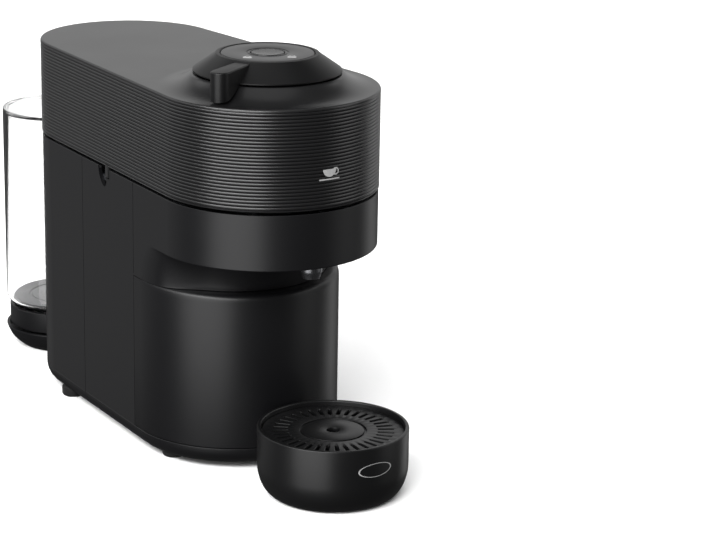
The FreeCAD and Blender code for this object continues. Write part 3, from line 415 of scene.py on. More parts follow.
def quarter(steps):
    """Sine and cosine from 0 to 90 degrees."""
    return [(math.sin(math.pi / 2 * i / steps), math.cos(math.pi / 2 * i / steps)) for i in range(steps + 1)]


def lathe(profile, centre, closed=False, steps=ROUND_STEPS):
    """Spins a profile of (radius, height) points about an upright axis."""
    bm = bmesh.new()
    x, y = centre
    points = [bm.verts.new((x + r, y, z)) for r, z in profile]
    pairs = list(zip(points, points[1:])) + ([(points[-1], points[0])] if closed else [])
    edges = [bm.edges.new(pair) for pair in pairs]
    bmesh.ops.spin(bm, geom=points + edges, cent=(x, y, 0), axis=UP, angle=2 * math.pi, steps=steps,
                   use_merge=True)
    bmesh.ops.remove_doubles(bm, verts=bm.verts, dist=1e-6)
    bmesh.ops.recalc_face_normals(bm, faces=bm.faces)
    return bm


def soften(bm, width, segments=3, sharp=30.0, edges=None):
    """Rounds the edges that turn by more than an angle."""
    found = [e for e in (edges or bm.edges)
             if len(e.link_faces) == 2 and e.calc_face_angle(0) > math.radians(sharp)]
    bmesh.ops.bevel(bm, geom=found, offset=width, offset_type="OFFSET", affect="EDGES", segments=segments,
                    profile=0.5, material=-1, clamp_overlap=True)


def block(bm, low, high, turn=0.0, width=0.0):
    """Adds a box between two corners, turned about its own upright axis, with rounded edges."""
    low, high = Vector(low), Vector(high)
    size = high - low
    place = Matrix.Translation((low + high) / 2) @ Matrix.Rotation(turn, 4, "Z")
    made = bmesh.ops.create_cube(bm, size=1, matrix=place @ Matrix.Diagonal((*size, 1)))["verts"]
    if width:
        soften(bm, width, 2, edges=list({e for v in made for e in v.link_edges}))


def sweep(bm, ends, centre, axis, degrees, steps):
    """Sweeps a straight edge round an axis."""
    pair = [bm.verts.new(end) for end in ends]
    bmesh.ops.spin(bm, geom=pair + [bm.edges.new(pair)], cent=centre, axis=axis,
                   angle=math.radians(degrees), steps=steps, use_merge=degrees == 360)


def shift(bm, made, move):
    """Moves what an extrusion has made."""
    bmesh.ops.translate(bm, vec=move, verts=[g for g in made["geom"] if isinstance(g, bmesh.types.BMVert)])


def wrap(bm, centre_y, radius):
    """Lays a flat mark on the front of a round wall."""
    for vert in bm.verts:
        vert.co.y = centre_y - math.sqrt((radius + INK) ** 2 - vert.co.x ** 2)
    bmesh.ops.recalc_face_normals(bm, faces=bm.faces)


def whole(bm):
    """Every point, edge and face of a mesh."""
    return bm.verts[:] + bm.edges[:] + bm.faces[:]


def keep_front(bm, y):
    """Cuts away what is behind a place."""
    bmesh.ops.bisect_plane(bm, geom=whole(bm), plane_co=(0, y, 0), plane_no=(0, 1, 0), clear_outer=True)


def gather(bm, part):
    """Moves one mesh into another."""
    mesh = bpy.data.meshes.new("part")
    part.to_mesh(mesh)
    part.free()
    bm.from_mesh(mesh)
    bpy.data.meshes.remove(mesh)


def join_to(bm, name):
    """Makes a named object of a mesh that is ready."""
    mesh = bpy.data.meshes.new(name)
    bm.to_mesh(mesh)
    bm.free()
    made = bpy.data.objects.new(name, mesh)
    bpy.context.scene.collection.objects.link(made)
    return made


def settle(piece):
    """Applies a piece's modifiers to its mesh."""
    graph = bpy.context.evaluated_depsgraph_get()
    mesh = bpy.data.meshes.new_from_object(piece.evaluated_get(graph))
    piece.modifiers.clear()
    piece.data = mesh


def carve(piece, cutter_bm, operation="DIFFERENCE"):
    """Cuts a shape out of a piece, or joins it on."""
    cutter = join_to(cutter_bm, "cutter")
    cut = piece.modifiers.new("carve", "BOOLEAN")
    cut.object = cutter
    cut.operation = operation
    cut.solver = "EXACT"
    settle(piece)
    bpy.data.objects.remove(cutter)


def finish(piece, slot_name, body, replaced=(), sharp=32.0, look=None):
    """Gives a piece its material, its shading and the body that it rides on.
    Look names another material of the same slot."""
    mesh = piece.data
    mesh.materials.clear()
    mesh.materials.append(finish_for(look or slot_name))
    mesh.shade_smooth()
    mesh.set_sharp_from_angle(angle=math.radians(sharp))
    for layer in ("turn", "rear"):
        if layer in mesh.attributes:
            mesh.attributes.remove(mesh.attributes[layer])
    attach(piece, body)
    if replaced:
        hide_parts(*replaced)
    return piece


def edge_polish(piece, width, segments=3, sharp=35.0):
    """Live bevel that catches the light on edges left by cutting."""
    bevel = piece.modifiers.new("edge", "BEVEL")
    bevel.width = width
    bevel.segments = segments
    bevel.limit_method = "ANGLE"
    bevel.angle_limit = math.radians(sharp)
    bevel.harden_normals = False
    settle(piece)


# Head

# One half-round rib: height up the pitch, share of the groove's depth
RIB = ((0.0, 1.0), (0.04, 0.72), (0.1, 0.48), (0.18, 0.28), (0.28, 0.12), (0.4, 0.03), (0.5, 0.0),
       (0.6, 0.03), (0.72, 0.12), (0.82, 0.28), (0.9, 0.48), (0.96, 0.72))
CAP_WALL = 3 * MM
HOLD = 0.2 * MM            # keeps the shading of a flat area flat
LUG_Y = -6.6 * MM          # middle of the locating lugs at the cap's edge
LUG_HALF = 2.3 * MM
KNUCKLES = (8.6 * MM, 14.4 * MM)    # the hinge bracket's knuckles stand between these


def flare_points():
    """The concave flare from the flat top to the knob, as (radius, rise)."""
    run = sizes().flare_radius - sizes().flare_top
    sweep = 2 * math.atan(sizes().flare_rise / run)
    radius = run / math.sin(sweep)
    steps = 14
    return [(sizes().flare_radius - radius * math.sin(sweep * i / steps),
             radius * (1 - math.cos(sweep * i / steps))) for i in range(steps + 1)]


class MACHINE_OT_cap(bpy.types.Operator):
    """Builds the ribbed cap with its flare round the knob and its locating lugs"""
    bl_idname = "machine.cap"
    bl_label = "Ribbed cap"

    def execute(self, context):
        size = sizes()
        bottom = BODY_HIGH.z + size.seam_gap
        crown = size.crown_height
        lip = 0.4 * MM
        bm = bmesh.new()
        base = outline(bm, plan(lip), bottom)
        loop = base
        for s, c in quarter(3)[1:]:
            loop = lift(bm, loop, plan(lip * (1 - s)), bottom + lip * (1 - c))
        start = bottom + 1.0 * MM
        pitch = (crown - size.crown_round - 0.5 * MM - start) / size.rib_count
        for rib in range(size.rib_count):
            for share, depth in RIB:
                loop = lift(bm, loop, plan(size.rib_depth * depth), start + (rib + share) * pitch)
        loop = lift(bm, loop, plan(), crown - size.crown_round - 0.3 * MM)
        for s, c in quarter(6):
            loop = lift(bm, loop, plan(size.crown_round * (1 - c)), crown - size.crown_round * (1 - s))
        rim = lift(bm, loop, plan(size.crown_round + HOLD), crown)

        flare = flare_points()
        circle = bmesh.ops.create_circle(bm, segments=ROUND_STEPS, radius=flare[0][0] + HOLD,
                                         matrix=Matrix.Translation((0, BREW_Y, crown)))["verts"]
        ring = list({e for v in circle for e in v.link_edges})
        bmesh.ops.triangle_fill(bm, use_beauty=True, use_dissolve=False, edges=rim + ring, normal=UP)
        lip_z = crown + size.flare_rise
        well = size.flare_top - 2.4 * MM
        for r, rise in flare:
            ring = widen(bm, ring, BREW_Y, r, crown + rise)
        for r, z in ((size.flare_top - 0.7 * MM, lip_z + 0.12 * MM), (well + 0.7 * MM, lip_z),
                     (well, lip_z - 0.7 * MM), (well, lip_z - CAP_WALL - 0.6 * MM)):
            ring = widen(bm, ring, BREW_Y, r, z)
        for r, rise in reversed(flare):
            ring = widen(bm, ring, BREW_Y, r - 0.4 * MM, crown + rise - CAP_WALL - 0.2 * MM)
        inner = lift(bm, base, plan(CAP_WALL), bottom)
        inner = lift(bm, inner, plan(CAP_WALL), crown - CAP_WALL - 0.2 * MM)
        bmesh.ops.triangle_fill(bm, use_beauty=True, use_dissolve=False, edges=inner + ring, normal=-UP)
        bmesh.ops.recalc_face_normals(bm, faces=bm.faces)

        at = plan(CAP_WALL / 2)
        half = CAP_WALL / 2 - 0.02 * MM
        for side in (-1, 1):
            x = side * side_at(at, LUG_Y)
            block(bm, (x - half, LUG_Y - LUG_HALF, CAP_LOW.z), (x + half, LUG_Y + LUG_HALF, bottom + MM),
                  side * at[2], 0.5 * MM)
        cap = join_to(bm, "ribbed_cap")
        finish(cap, "cap_plastic", "head", ["head_cap"])
        return {"FINISHED"}


class MACHINE_OT_hinge_cover(bpy.types.Operator):
    """Builds the curved shroud that closes the hinge at the rear"""
    bl_idname = "machine.hinge_cover"
    bl_label = "Hinge cover"

    def execute(self, context):
        radius = (PIN_HIGH.z - SEAM_Z) + 5.7 * MM
        bm = bmesh.new()
        start = Vector((0, HINGE_Y + radius, SHROUD_HIGH.z))
        inner, outer = KNUCKLES
        for span in ((SHROUD_LOW.x, -outer), (-inner, inner), (outer, SHROUD_HIGH.x)):
            sweep(bm, [(x, start.y, start.z) for x in span], (0, HINGE_Y, start.z), (1, 0, 0), -86, 20)
        bmesh.ops.recalc_face_normals(bm, faces=bm.faces)
        cover = join_to(bm, "hinge_cover")
        wall = cover.modifiers.new("wall", "SOLIDIFY")
        wall.thickness = 1.2 * MM
        wall.offset = -1
        settle(cover)
        edge_polish(cover, 0.25 * MM)
        finish(cover, "cap_plastic", "head", ["hinge_shroud"])
        return {"FINISHED"}


class MACHINE_OT_cup_mark(bpy.types.Operator):
    """Prints a plain cup sign on the front of the cap"""
    bl_idname = "machine.cup_mark"
    bl_label = "Cup sign"

    def execute(self, context):
        bm = bmesh.new()
        middle = 197 * MM
        radius = 4.6 * MM
        upright = Matrix.Translation((0, 0, middle)) @ Matrix.Rotation(math.pi / 2, 4, "X")
        bmesh.ops.create_circle(bm, cap_ends=True, segments=40, radius=radius, matrix=upright)
        bmesh.ops.bisect_plane(bm, geom=whole(bm), plane_co=(0, 0, middle), plane_no=UP, clear_outer=True)
        handle_z = middle - 1.6 * MM
        sweep(bm, [(radius + r * MM, 0, handle_z) for r in (1.1, 1.9)],
              (radius - 0.4 * MM, 0, handle_z), (0, 1, 0), 360, 28)
        saucer = [bm.verts.new((x * MM, 0, middle - 6.4 * MM)) for x in (-7, -3.5, 0, 3.5, 7)]
        edges = [bm.edges.new(pair) for pair in zip(saucer, saucer[1:])]
        shift(bm, bmesh.ops.extrude_edge_only(bm, edges=edges), (0, 0, 0.8 * MM))
        bmesh.ops.triangulate(bm, faces=bm.faces)
        bmesh.ops.subdivide_edges(bm, edges=bm.edges, cuts=2, use_grid_fill=True)
        wrap(bm, BREW_Y, HEAD_R)
        mark = join_to(bm, "cup_mark")
        finish(mark, "cap_plastic", "head", look="print")
        return {"FINISHED"}


# Body

SLOT_Y = -8 * MM           # middle of the curved slot in the side
SLOT_R = 11.0 * MM
SLOT_WIDTH = 6.6 * MM
SLOT_SWEEP = 56            # degrees of the slot's arc
SLOT_X, SLOT_REACH = 48 * MM, 30 * MM    # the tool's inner end, and how far it cuts outwards
GLAND_HOLE = 6.05 * MM
LOCK_SCREW_HOLE, LOCK_SCREW_Z = 2.65 * MM, 8.8 * MM
BOTTOM_ROUND = 11 * MM
BAY_Y = FRONT_HIGH.y + 0.4 * MM
PANEL = 73 * MM            # length of the side panel between its two parting lines


def column_slide():
    """How far the column's front stands behind the cap's."""
    return slide_to(FRONT_LOW.y, body_inset())


def body_inset():
    """How much narrower the body is than the cap."""
    return HEAD_R - BODY_HIGH.x


def neck_slide():
    """How far the front of the neck behind the container stands back."""
    return column_slide() + sizes().cove_depth / (1 + math.sin(plan()[2]))


def clear_front(bm, behind_y, low, high):
    """Opens the front of a lofted skin between two heights."""
    band = [f for f in bm.faces if low < f.calc_center_median().z < high]
    parts = band + list({e for f in band for e in f.edges}) + list({v for f in band for v in f.verts})
    bmesh.ops.bisect_plane(bm, geom=parts, plane_co=(0, behind_y, 0), plane_no=(0, 1, 0))
    middles = {f: f.calc_center_median() for f in bm.faces}
    front = [f for f, middle in middles.items() if low < middle.z < high and middle.y < behind_y]
    bmesh.ops.delete(bm, geom=front, context="FACES")


def thicken(piece, wall):
    """Gives a skin its wall, inwards."""
    skin = piece.modifiers.new("wall", "SOLIDIFY")
    skin.thickness = wall
    skin.offset = -1
    skin.use_quality_normals = True
    settle(piece)


def slot_span(side, more):
    """How far across a tool for the slot reaches. No two of these tools end at the same place."""
    return sorted((side * (SLOT_X - more), side * (SLOT_X + SLOT_REACH + more)))


def slot_cutter(side):
    """The curved slot in the side, open at the parting line."""
    bm = bmesh.new()
    x0 = side * SLOT_X
    ends = [(x0, SLOT_Y + r, SEAM_Z) for r in (SLOT_R - SLOT_WIDTH / 2, SLOT_R + SLOT_WIDTH / 2)]
    sweep(bm, ends, (x0, SLOT_Y, SEAM_Z), (1, 0, 0), -SLOT_SWEEP, 20)
    shift(bm, bmesh.ops.extrude_face_region(bm, geom=bm.faces[:]), (side * SLOT_REACH, 0, 0))
    bmesh.ops.recalc_face_normals(bm, faces=bm.faces)
    return bm


def slot_pocket(side):
    """Room for the locating lug in front of the slot."""
    bm = bmesh.new()
    x0, x1 = slot_span(side, 0.5 * MM)
    block(bm, (x0, SLOT_Y - 1.4 * MM, SEAM_Z - 6.6 * MM), (x1, SLOT_Y + SLOT_R - 2.2 * MM, SEAM_Z + 3 * MM))
    return bm


def rod_cutter(x0, x1, y, z, radius, axis="X"):
    """A rod that cuts a round hole across the machine, or along it with axis Y and x in place of y."""
    bm = bmesh.new()
    turn = Matrix.Rotation(math.pi / 2, 4, "Y" if axis == "X" else "X")
    middle = ((x0 + x1) / 2, y, z) if axis == "X" else (y, (x0 + x1) / 2, z)
    bmesh.ops.create_cone(bm, cap_ends=True, segments=48, radius1=radius, radius2=radius, depth=x1 - x0,
                          matrix=Matrix.Translation(middle) @ turn)
    return bm


class MACHINE_OT_body(bpy.types.Operator):
    """Builds the body cover: rounded foot, column, scooped cove and overhanging head band"""
    bl_idname = "machine.body"
    bl_label = "Body cover"

    def execute(self, context):
        size = sizes()
        inset = body_inset()
        back, neck = column_slide(), neck_slide()
        taper = 1 + math.sin(plan()[2])
        bm = bmesh.new()
        loop = outline(bm, plan(inset + BOTTOM_ROUND, back), BODY_LOW.z)
        for s, c in quarter(8)[1:]:
            loop = lift(bm, loop, plan(inset + BOTTOM_ROUND * (1 - s), back),
                        BODY_LOW.z + BOTTOM_ROUND * (1 - c))
        loop = lift(bm, loop, plan(inset, back), size.toe_height - 0.25 * MM)
        loop = lift(bm, loop, plan(inset + 0.25 * MM, back), size.toe_height)
        loop = lift(bm, loop, plan(inset, neck), size.toe_height + 0.2 * MM)
        loop = lift(bm, loop, plan(inset, back), size.ledge_height, size.cove_depth)
        rise = size.band_height - size.ledge_height - 1.3 * MM
        for s, c in quarter(12):
            curl = size.cove_round * (0.7 * (1 - c) + 0.3 * s) / taper
            loop = lift(bm, loop, plan(inset, back - curl), size.ledge_height + 1 * MM + rise * s,
                        size.cove_depth)
        edge = 0.9 * MM
        for s, c in quarter(4):
            loop = lift(bm, loop, plan(inset, edge * (1 - s) / taper), size.band_height + edge * (1 - c))
        lip = 0.5 * MM
        for s, c in quarter(3):
            loop = lift(bm, loop, plan(inset + lip * (1 - c)), BODY_HIGH.z - lip * (1 - s))
        clear_front(bm, BAY_Y, size.toe_height + 0.1 * MM, size.ledge_height)
        bmesh.ops.recalc_face_normals(bm, faces=bm.faces)
        body = join_to(bm, "body_cover")
        thicken(body, size.wall)
        for side in (-1, 1):
            carve(body, slot_cutter(side))
            carve(body, slot_pocket(side))
            end = math.radians(SLOT_SWEEP)
            carve(body, rod_cutter(*slot_span(side, 1 * MM), SLOT_Y + SLOT_R * math.cos(end),
                                   SEAM_Z - SLOT_R * math.sin(end), SLOT_WIDTH / 2 + 0.02 * MM))
        carve(body, rod_cutter(SHROUD_LOW.x - 1.2 * MM, SHROUD_HIGH.x + 1.2 * MM, HINGE_Y, SEAM_Z, 9 * MM))
        rear = (100 * MM, 150 * MM)
        gland = (GLAND_LOW + GLAND_HIGH) / 2
        carve(body, rod_cutter(*rear, gland.x, gland.z, GLAND_HOLE, "Y"))
        carve(body, rod_cutter(*rear, 0, LOCK_SCREW_Z, LOCK_SCREW_HOLE, "Y"))
        front_line, rear_line = FRONT_HIGH.y + 0.2 * MM, FRONT_HIGH.y + PANEL
        for line_y, low in ((front_line, size.ledge_height + 1 * MM), (rear_line, 6 * MM)):
            for side in (-1, 1):
                middle = Vector((side * side_at(plan(inset), line_y), line_y, 0))
                across = Vector((0.35 * MM, 0.22 * MM, 0))
                groove = bmesh.new()
                block(groove, middle - across + UP * low, middle + across + UP * 0.3)
                carve(body, groove)
        flat = body.modifiers.new("flat", "WEIGHTED_NORMAL")
        flat.keep_sharp = True
        finish(body, "body_plastic", "body", ["body_shell"], 28)
        return {"FINISHED"}


class MACHINE_OT_bay(bpy.types.Operator):
    """Lines the bay that the container slides into"""
    bl_idname = "machine.bay"
    bl_label = "Container bay"

    def execute(self, context):
        size = sizes()
        inset = body_inset()
        bm = bmesh.new()
        for low, high in ((size.toe_height - size.wall, size.toe_height - 0.02 * MM),
                          (size.ledge_height + 0.02 * MM, size.ledge_height + size.wall)):
            made = bmesh.new()
            at = plan(inset + 0.8 * MM, column_slide())
            lift(made, outline(made, at, low), at, high)
            if low > size.toe_height:
                scoop(made, made.verts, size.cove_depth)
            bmesh.ops.holes_fill(made, edges=made.edges, sides=0)
            keep_front(made, BAY_Y)
            bmesh.ops.holes_fill(made, edges=made.edges, sides=0)
            gather(bm, made)
        half = BODY_HIGH.x - 5.4 * MM
        door = 50.6 * MM
        low, high = size.toe_height + 0.02 * MM, size.ledge_height - 0.02 * MM
        sill, lintel = low + 2.6 * MM, high - 3.7 * MM
        for x0, z0, x1, z1 in ((-half, low, half, sill), (-half, lintel, half, high),
                               (-half, sill, -door, lintel), (door, sill, half, lintel)):
            block(bm, (x0, BAY_Y, z0), (x1, BAY_Y + size.wall, z1))
        bmesh.ops.recalc_face_normals(bm, faces=bm.faces)
        bay = join_to(bm, "bay_lining")
        finish(bay, "body_plastic", "body")
        return {"FINISHED"}


class MACHINE_OT_container(bpy.types.Operator):
    """Builds the container's curved front with its shoulder"""
    bl_idname = "machine.container"
    bl_label = "Container front"

    def execute(self, context):
        size = sizes()
        inset = body_inset()
        back = column_slide()
        taper = 1 + math.sin(plan()[2])
        low, high = FRONT_LOW.z, FRONT_HIGH.z
        bm = bmesh.new()
        loop = outline(bm, plan(inset + 6 * MM, back), low)
        edge = 0.5 * MM
        for s, c in quarter(3):
            loop = lift(bm, loop, plan(inset + edge * (1 - s), back), low + edge * (1 - c) + 0.02 * MM)
        shoulder = 4.5 * MM
        for s, c in quarter(6):
            loop = lift(bm, loop, plan(inset, back + shoulder * (1 - c) / taper),
                        high - shoulder * (1 - s) - 0.05 * MM)
        lift(bm, loop, plan(inset, neck_slide() + 2.5 * MM), high)
        keep_front(bm, FRONT_HIGH.y)
        bmesh.ops.recalc_face_normals(bm, faces=bm.faces)
        front = join_to(bm, "container_front")
        thicken(front, size.wall)
        finish(front, "body_plastic", "container", ["container_shell"], 28)
        return {"FINISHED"}


# Knob, lever and button

LEVER_ANGLE = 210.0        # plan angle of the lever from the machine's right, in degrees


class MACHINE_OT_knob(bpy.types.Operator):
    """Builds the conical knob with its lever blade"""
    bl_idname = "machine.knob"
    bl_label = "Knob and lever"

    def execute(self, context):
        size = sizes()
        top = KNOB_TOP
        base = size.crown_height + size.flare_rise + 1 * MM
        foot, crest, recess = 44.7 * MM, 31.5 * MM, DISC_HIGH.x + 0.35 * MM
        skirt = [(recess - 0.4 * MM, base), (foot - 0.3 * MM, base), (foot, base + 0.3 * MM),
                 (foot, base + 0.9 * MM)]
        shoulder = [(crest + 0.3 * MM, top - 1.1 * MM), (crest - 0.5 * MM, top - 0.2 * MM),
                    (crest - 1.3 * MM, top), (recess + 0.5 * MM, top), (recess, top - 0.5 * MM)]
        seat = [(recess, top - 2.2 * MM), (recess - 3 * MM, top - 2.2 * MM),
                (recess - 3 * MM, base + 3 * MM), (recess - 0.4 * MM, base + 3 * MM)]
        bm = lathe(skirt + shoulder + seat, (0, BREW_Y), closed=True)
        knob = join_to(bm, "knob_and_lever")

        blade = bmesh.new()
        half = size.lever_width / 2
        reach = 64.5 * MM
        corners = [blade.verts.new((29.4 * MM, y, 0)) for y in (half - 0.8 * MM, -half + 0.8 * MM)]
        start = blade.verts.new((reach - half, -half, 0))
        blade.edges.new((corners[1], start))
        blade.edges.new((corners[0], corners[1]))
        bmesh.ops.spin(blade, geom=[start], cent=(reach - half, 0, 0), axis=UP, angle=math.pi, steps=20)
        blade.verts.ensure_lookup_table()
        blade.edges.new((blade.verts[-1], corners[0]))
        bmesh.ops.remove_doubles(blade, verts=blade.verts, dist=1e-7)
        bmesh.ops.contextual_create(blade, geom=blade.edges[:])
        blade_low = size.crown_height + 1 * MM
        made = bmesh.ops.extrude_face_region(blade, geom=blade.faces[:])
        shift(blade, made, UP * (top - 1 * MM - blade_low))
        bmesh.ops.translate(blade, vec=(0, 0, blade_low), verts=blade.verts)
        bmesh.ops.recalc_face_normals(blade, faces=blade.faces)
        soften(blade, 0.9 * MM, 4, 40)
        bmesh.ops.rotate(blade, cent=(0, 0, 0), matrix=Matrix.Rotation(math.radians(LEVER_ANGLE), 3, "Z"),
                         verts=blade.verts)
        bmesh.ops.translate(blade, vec=(0, BREW_Y, 0), verts=blade.verts)
        lever = join_to(blade, "lever blade")
        gap = 1.6 * MM
        carve(lever, lathe([(0, 0.2), (0, base), (size.flare_top - 0.4 * MM, base)]
                           + [(r, size.crown_height + rise + gap) for r, rise in reversed(flare_points())]
                           + [(80 * MM, size.crown_height + gap), (80 * MM, 0.2)], (0, BREW_Y), closed=True))
        bm = bmesh.new()
        bm.from_mesh(lever.data)
        bpy.data.objects.remove(lever)
        carve(knob, bm, "UNION")
        edge_polish(knob, 0.35 * MM, 2, 40)
        finish(knob, "lever_plastic", "lever", ["lever_knob"], 34)
        return {"FINISHED"}


class MACHINE_OT_disc(bpy.types.Operator):
    """Builds the disc on the knob, with its groove and the two lever signs"""
    bl_idname = "machine.disc"
    bl_label = "Knob disc"

    def execute(self, context):
        top, low = DISC_HIGH.z, DISC_LOW.z
        outer = DISC_HIGH.x
        hole = BUTTON_HIGH.x + 0.4 * MM
        groove = 12.4 * MM
        bm = lathe([(hole, low), (outer, low), (outer, top - 0.6 * MM), (outer - 0.6 * MM, top - 0.05 * MM),
                    (groove + 0.7 * MM, top - 0.05 * MM), (groove + 0.45 * MM, top - 0.45 * MM),
                    (groove - 0.45 * MM, top - 0.45 * MM), (groove - 0.7 * MM, top - 0.05 * MM),
                    (hole + 0.4 * MM, top - 0.05 * MM), (hole, top - 0.4 * MM)], (0, BREW_Y), closed=True)
        soften(bm, 0.12 * MM, 2, 25)
        disc = join_to(bm, "knob_face")
        finish(disc, "disc_plastic", "lever", ["knob_disc"])
        reach = 19.5 * MM
        for name, degrees, lifted in (("closed_sign", 200, 0.0), ("open_sign", 285, 1.0)):
            sign = padlock(name, lifted)
            angle = math.radians(degrees)
            centre = (reach * math.cos(angle), BREW_Y + reach * math.sin(angle), top - 0.02 * MM)
            sign.data.transform(Matrix.Translation(centre) @ Matrix.Rotation(math.radians(-35), 4, "Z")
                                @ Matrix.Diagonal((1.5, 1.7, 1, 1)))
            finish(sign, "disc_plastic", "lever", look="print")
        return {"FINISHED"}


def padlock(name, lifted):
    """A plain printed lock sign, its bow closed or raised."""
    bm = bmesh.new()
    block(bm, (-1.7 * MM, -1.5 * MM, -0.02 * MM), (1.7 * MM, 0.9 * MM, 0.02 * MM))
    centre = (0, (0.9 + 0.6 * lifted) * MM, 0.02 * MM)
    sweep(bm, [(r * MM, centre[1], centre[2]) for r in (0.8, 1.3)], centre, UP, 180, 16)
    return join_to(bm, name)


class MACHINE_OT_button(bpy.types.Operator):
    """Builds the round brew button, slightly dished"""
    bl_idname = "machine.button"
    bl_label = "Brew button"

    def execute(self, context):
        top, low = BUTTON_HIGH.z, BUTTON_LOW.z
        radius = BUTTON_HIGH.x
        skirt = top - 2.6 * MM
        dish = [(radius * 0.86 * s, top - 0.35 * MM * c ** 2 - 0.08 * MM) for s, c in quarter(8)]
        bm = lathe([(0, low), (2.4 * MM, low), (2.4 * MM, skirt), (radius, skirt), (radius, top - 0.6 * MM),
                    (radius - 0.25 * MM, top - 0.2 * MM), (radius - 0.8 * MM, top)] + dish[::-1], (0, BREW_Y))
        button = join_to(bm, "button_cap")
        finish(button, "button_plastic", "button", ["brew_button"])
        return {"FINISHED"}


# Cup stand

class MACHINE_OT_stand(bpy.types.Operator):
    """Builds the round cup stand with its raised lip"""
    bl_idname = "machine.stand"
    bl_label = "Cup stand"

    def execute(self, context):
        r, rim = TRAY_HIGH.x, TRAY_HIGH.z
        wall = 2.4 * MM
        heel, rise = 11 * MM, 19 * MM
        foot = [(r - heel * (1 - s), TRAY_LOW.z + rise * (1 - c)) for s, c in quarter(14)]
        lip = 0.8 * MM
        crest = [(r - lip * (1 - c), rim - lip * (1 - s)) for s, c in quarter(5)]
        back = [(r - wall + lip * (1 - s), rim - lip * (1 - c)) for s, c in quarter(5)]
        floor = 2.4 * MM
        shelf = GRID_LOW.z - 0.2 * MM
        ledge = r - wall - 2 * MM
        basin = [(r - wall, shelf), (ledge, shelf), (ledge, 14 * MM), (r - 8 * MM, 5.6 * MM),
                 (r - 13 * MM, floor), (0, floor)]
        bm = lathe([(0, TRAY_LOW.z)] + foot + crest + back + basin, (0, TRAY_Y), steps=160)
        stand = join_to(bm, "cup_stand")
        finish(stand, "tray_plastic", "container", ["drip_tray"])

        badge = bmesh.new()
        across, tall, middle = 11.6 * MM, 4.2 * MM, 27.7 * MM
        ends = [(share * across, 0, middle) for share in (0.92, 1.0)]
        sweep(badge, ends, (0, 0, middle), (0, 1, 0), 360, 56)
        bmesh.ops.scale(badge, vec=(1, 1, tall / across), space=Matrix.Translation((0, 0, -middle)),
                        verts=badge.verts)
        wrap(badge, TRAY_Y, r)
        ring = join_to(badge, "stand_ring_mark")
        finish(ring, "tray_plastic", "container", look="print")
        return {"FINISHED"}


class MACHINE_OT_grid(bpy.types.Operator):
    """Builds the cup grid with its ring of drain slots"""
    bl_idname = "machine.grid"
    bl_label = "Cup grid"

    slots: IntProperty(name="Slots", description="Drain slots round the grid", default=36, min=6, max=90)

    def execute(self, context):
        radius, low, top = GRID_HIGH.x, GRID_LOW.z, GRID_HIGH.z
        hole, groove_in, groove_out, groove_z = 4 * MM, 18.6 * MM, 20.1 * MM, top - 1.2 * MM
        bm = lathe([(hole, low), (radius, low), (radius, top), (groove_out, top), (groove_out, groove_z),
                    (groove_in, groove_z), (groove_in, top), (hole, top)], (0, TRAY_Y), closed=True,
                   steps=144)
        grid = join_to(bm, "cup_grid")
        cutter = bmesh.new()
        block(cutter, (radius - 16 * MM, TRAY_Y - 1.05 * MM, low - 1 * MM),
              (radius - 6 * MM, TRAY_Y + 1.05 * MM, top + 1 * MM))
        upright = [e for e in cutter.edges if abs(e.verts[0].co.z - e.verts[1].co.z) > 1 * MM]
        bmesh.ops.bevel(cutter, geom=upright, offset=1.0 * MM, offset_type="OFFSET", affect="EDGES",
                        segments=4, profile=0.5, material=-1)
        rest = self.slots - 1
        bmesh.ops.spin(cutter, geom=whole(cutter), cent=(0, TRAY_Y, 0), axis=UP,
                       angle=2 * math.pi * rest / self.slots, steps=rest, use_duplicate=True)
        carve(grid, cutter)
        edge_polish(grid, 0.3 * MM, 2, 50)
        finish(grid, "tray_plastic", "grid", ["drip_grid"])
        return {"FINISHED"}


# Spout and feet

class MACHINE_OT_spout(bpy.types.Operator):
    """Builds the coffee spout"""
    bl_idname = "machine.spout"
    bl_label = "Spout"

    def execute(self, context):
        r, low, high = SPOUT_HIGH.x, SPOUT_LOW.z, SPOUT_HIGH.z
        y = (SPOUT_LOW.y + SPOUT_HIGH.y) / 2
        bore = 4.6 * MM
        bm = lathe([(bore, low + 0.4 * MM), (bore + 0.3 * MM, low), (bore + 0.8 * MM, low + 0.1 * MM),
                    (r - 0.5 * MM, low + 3.2 * MM), (r - 0.1 * MM, low + 4.2 * MM), (r, low + 5 * MM),
                    (r, high), (bore, high)], (0, y), closed=True, steps=72)
        spout = join_to(bm, "spout_tube")
        finish(spout, "spout_metal", "body", ["coffee_spout"])
        return {"FINISHED"}


class MACHINE_OT_feet(bpy.types.Operator):
    """Builds the rubber feet with their ring tread"""
    bl_idname = "machine.feet"
    bl_label = "Feet"

    def execute(self, context):
        r = 7.4 * MM
        joined = bmesh.new()
        for x in (FEET_LOW.x + r, FEET_HIGH.x - r):
            for y in (FEET_LOW.y + r, FEET_HIGH.y - r):
                foot = lathe([(0, 0.5 * MM), (3.0 * MM, 0.5 * MM), (3.5 * MM, 0), (6.0 * MM, 0),
                              (6.9 * MM, 0.5 * MM), (r, 1.6 * MM), (r, FEET_HIGH.z), (0, FEET_HIGH.z)],
                             (x, y), steps=48)
                gather(joined, foot)
        feet = join_to(joined, "foot_pads")
        finish(feet, "rubber", "body", ["rubber_feet"])
        return {"FINISHED"}


# Water tank

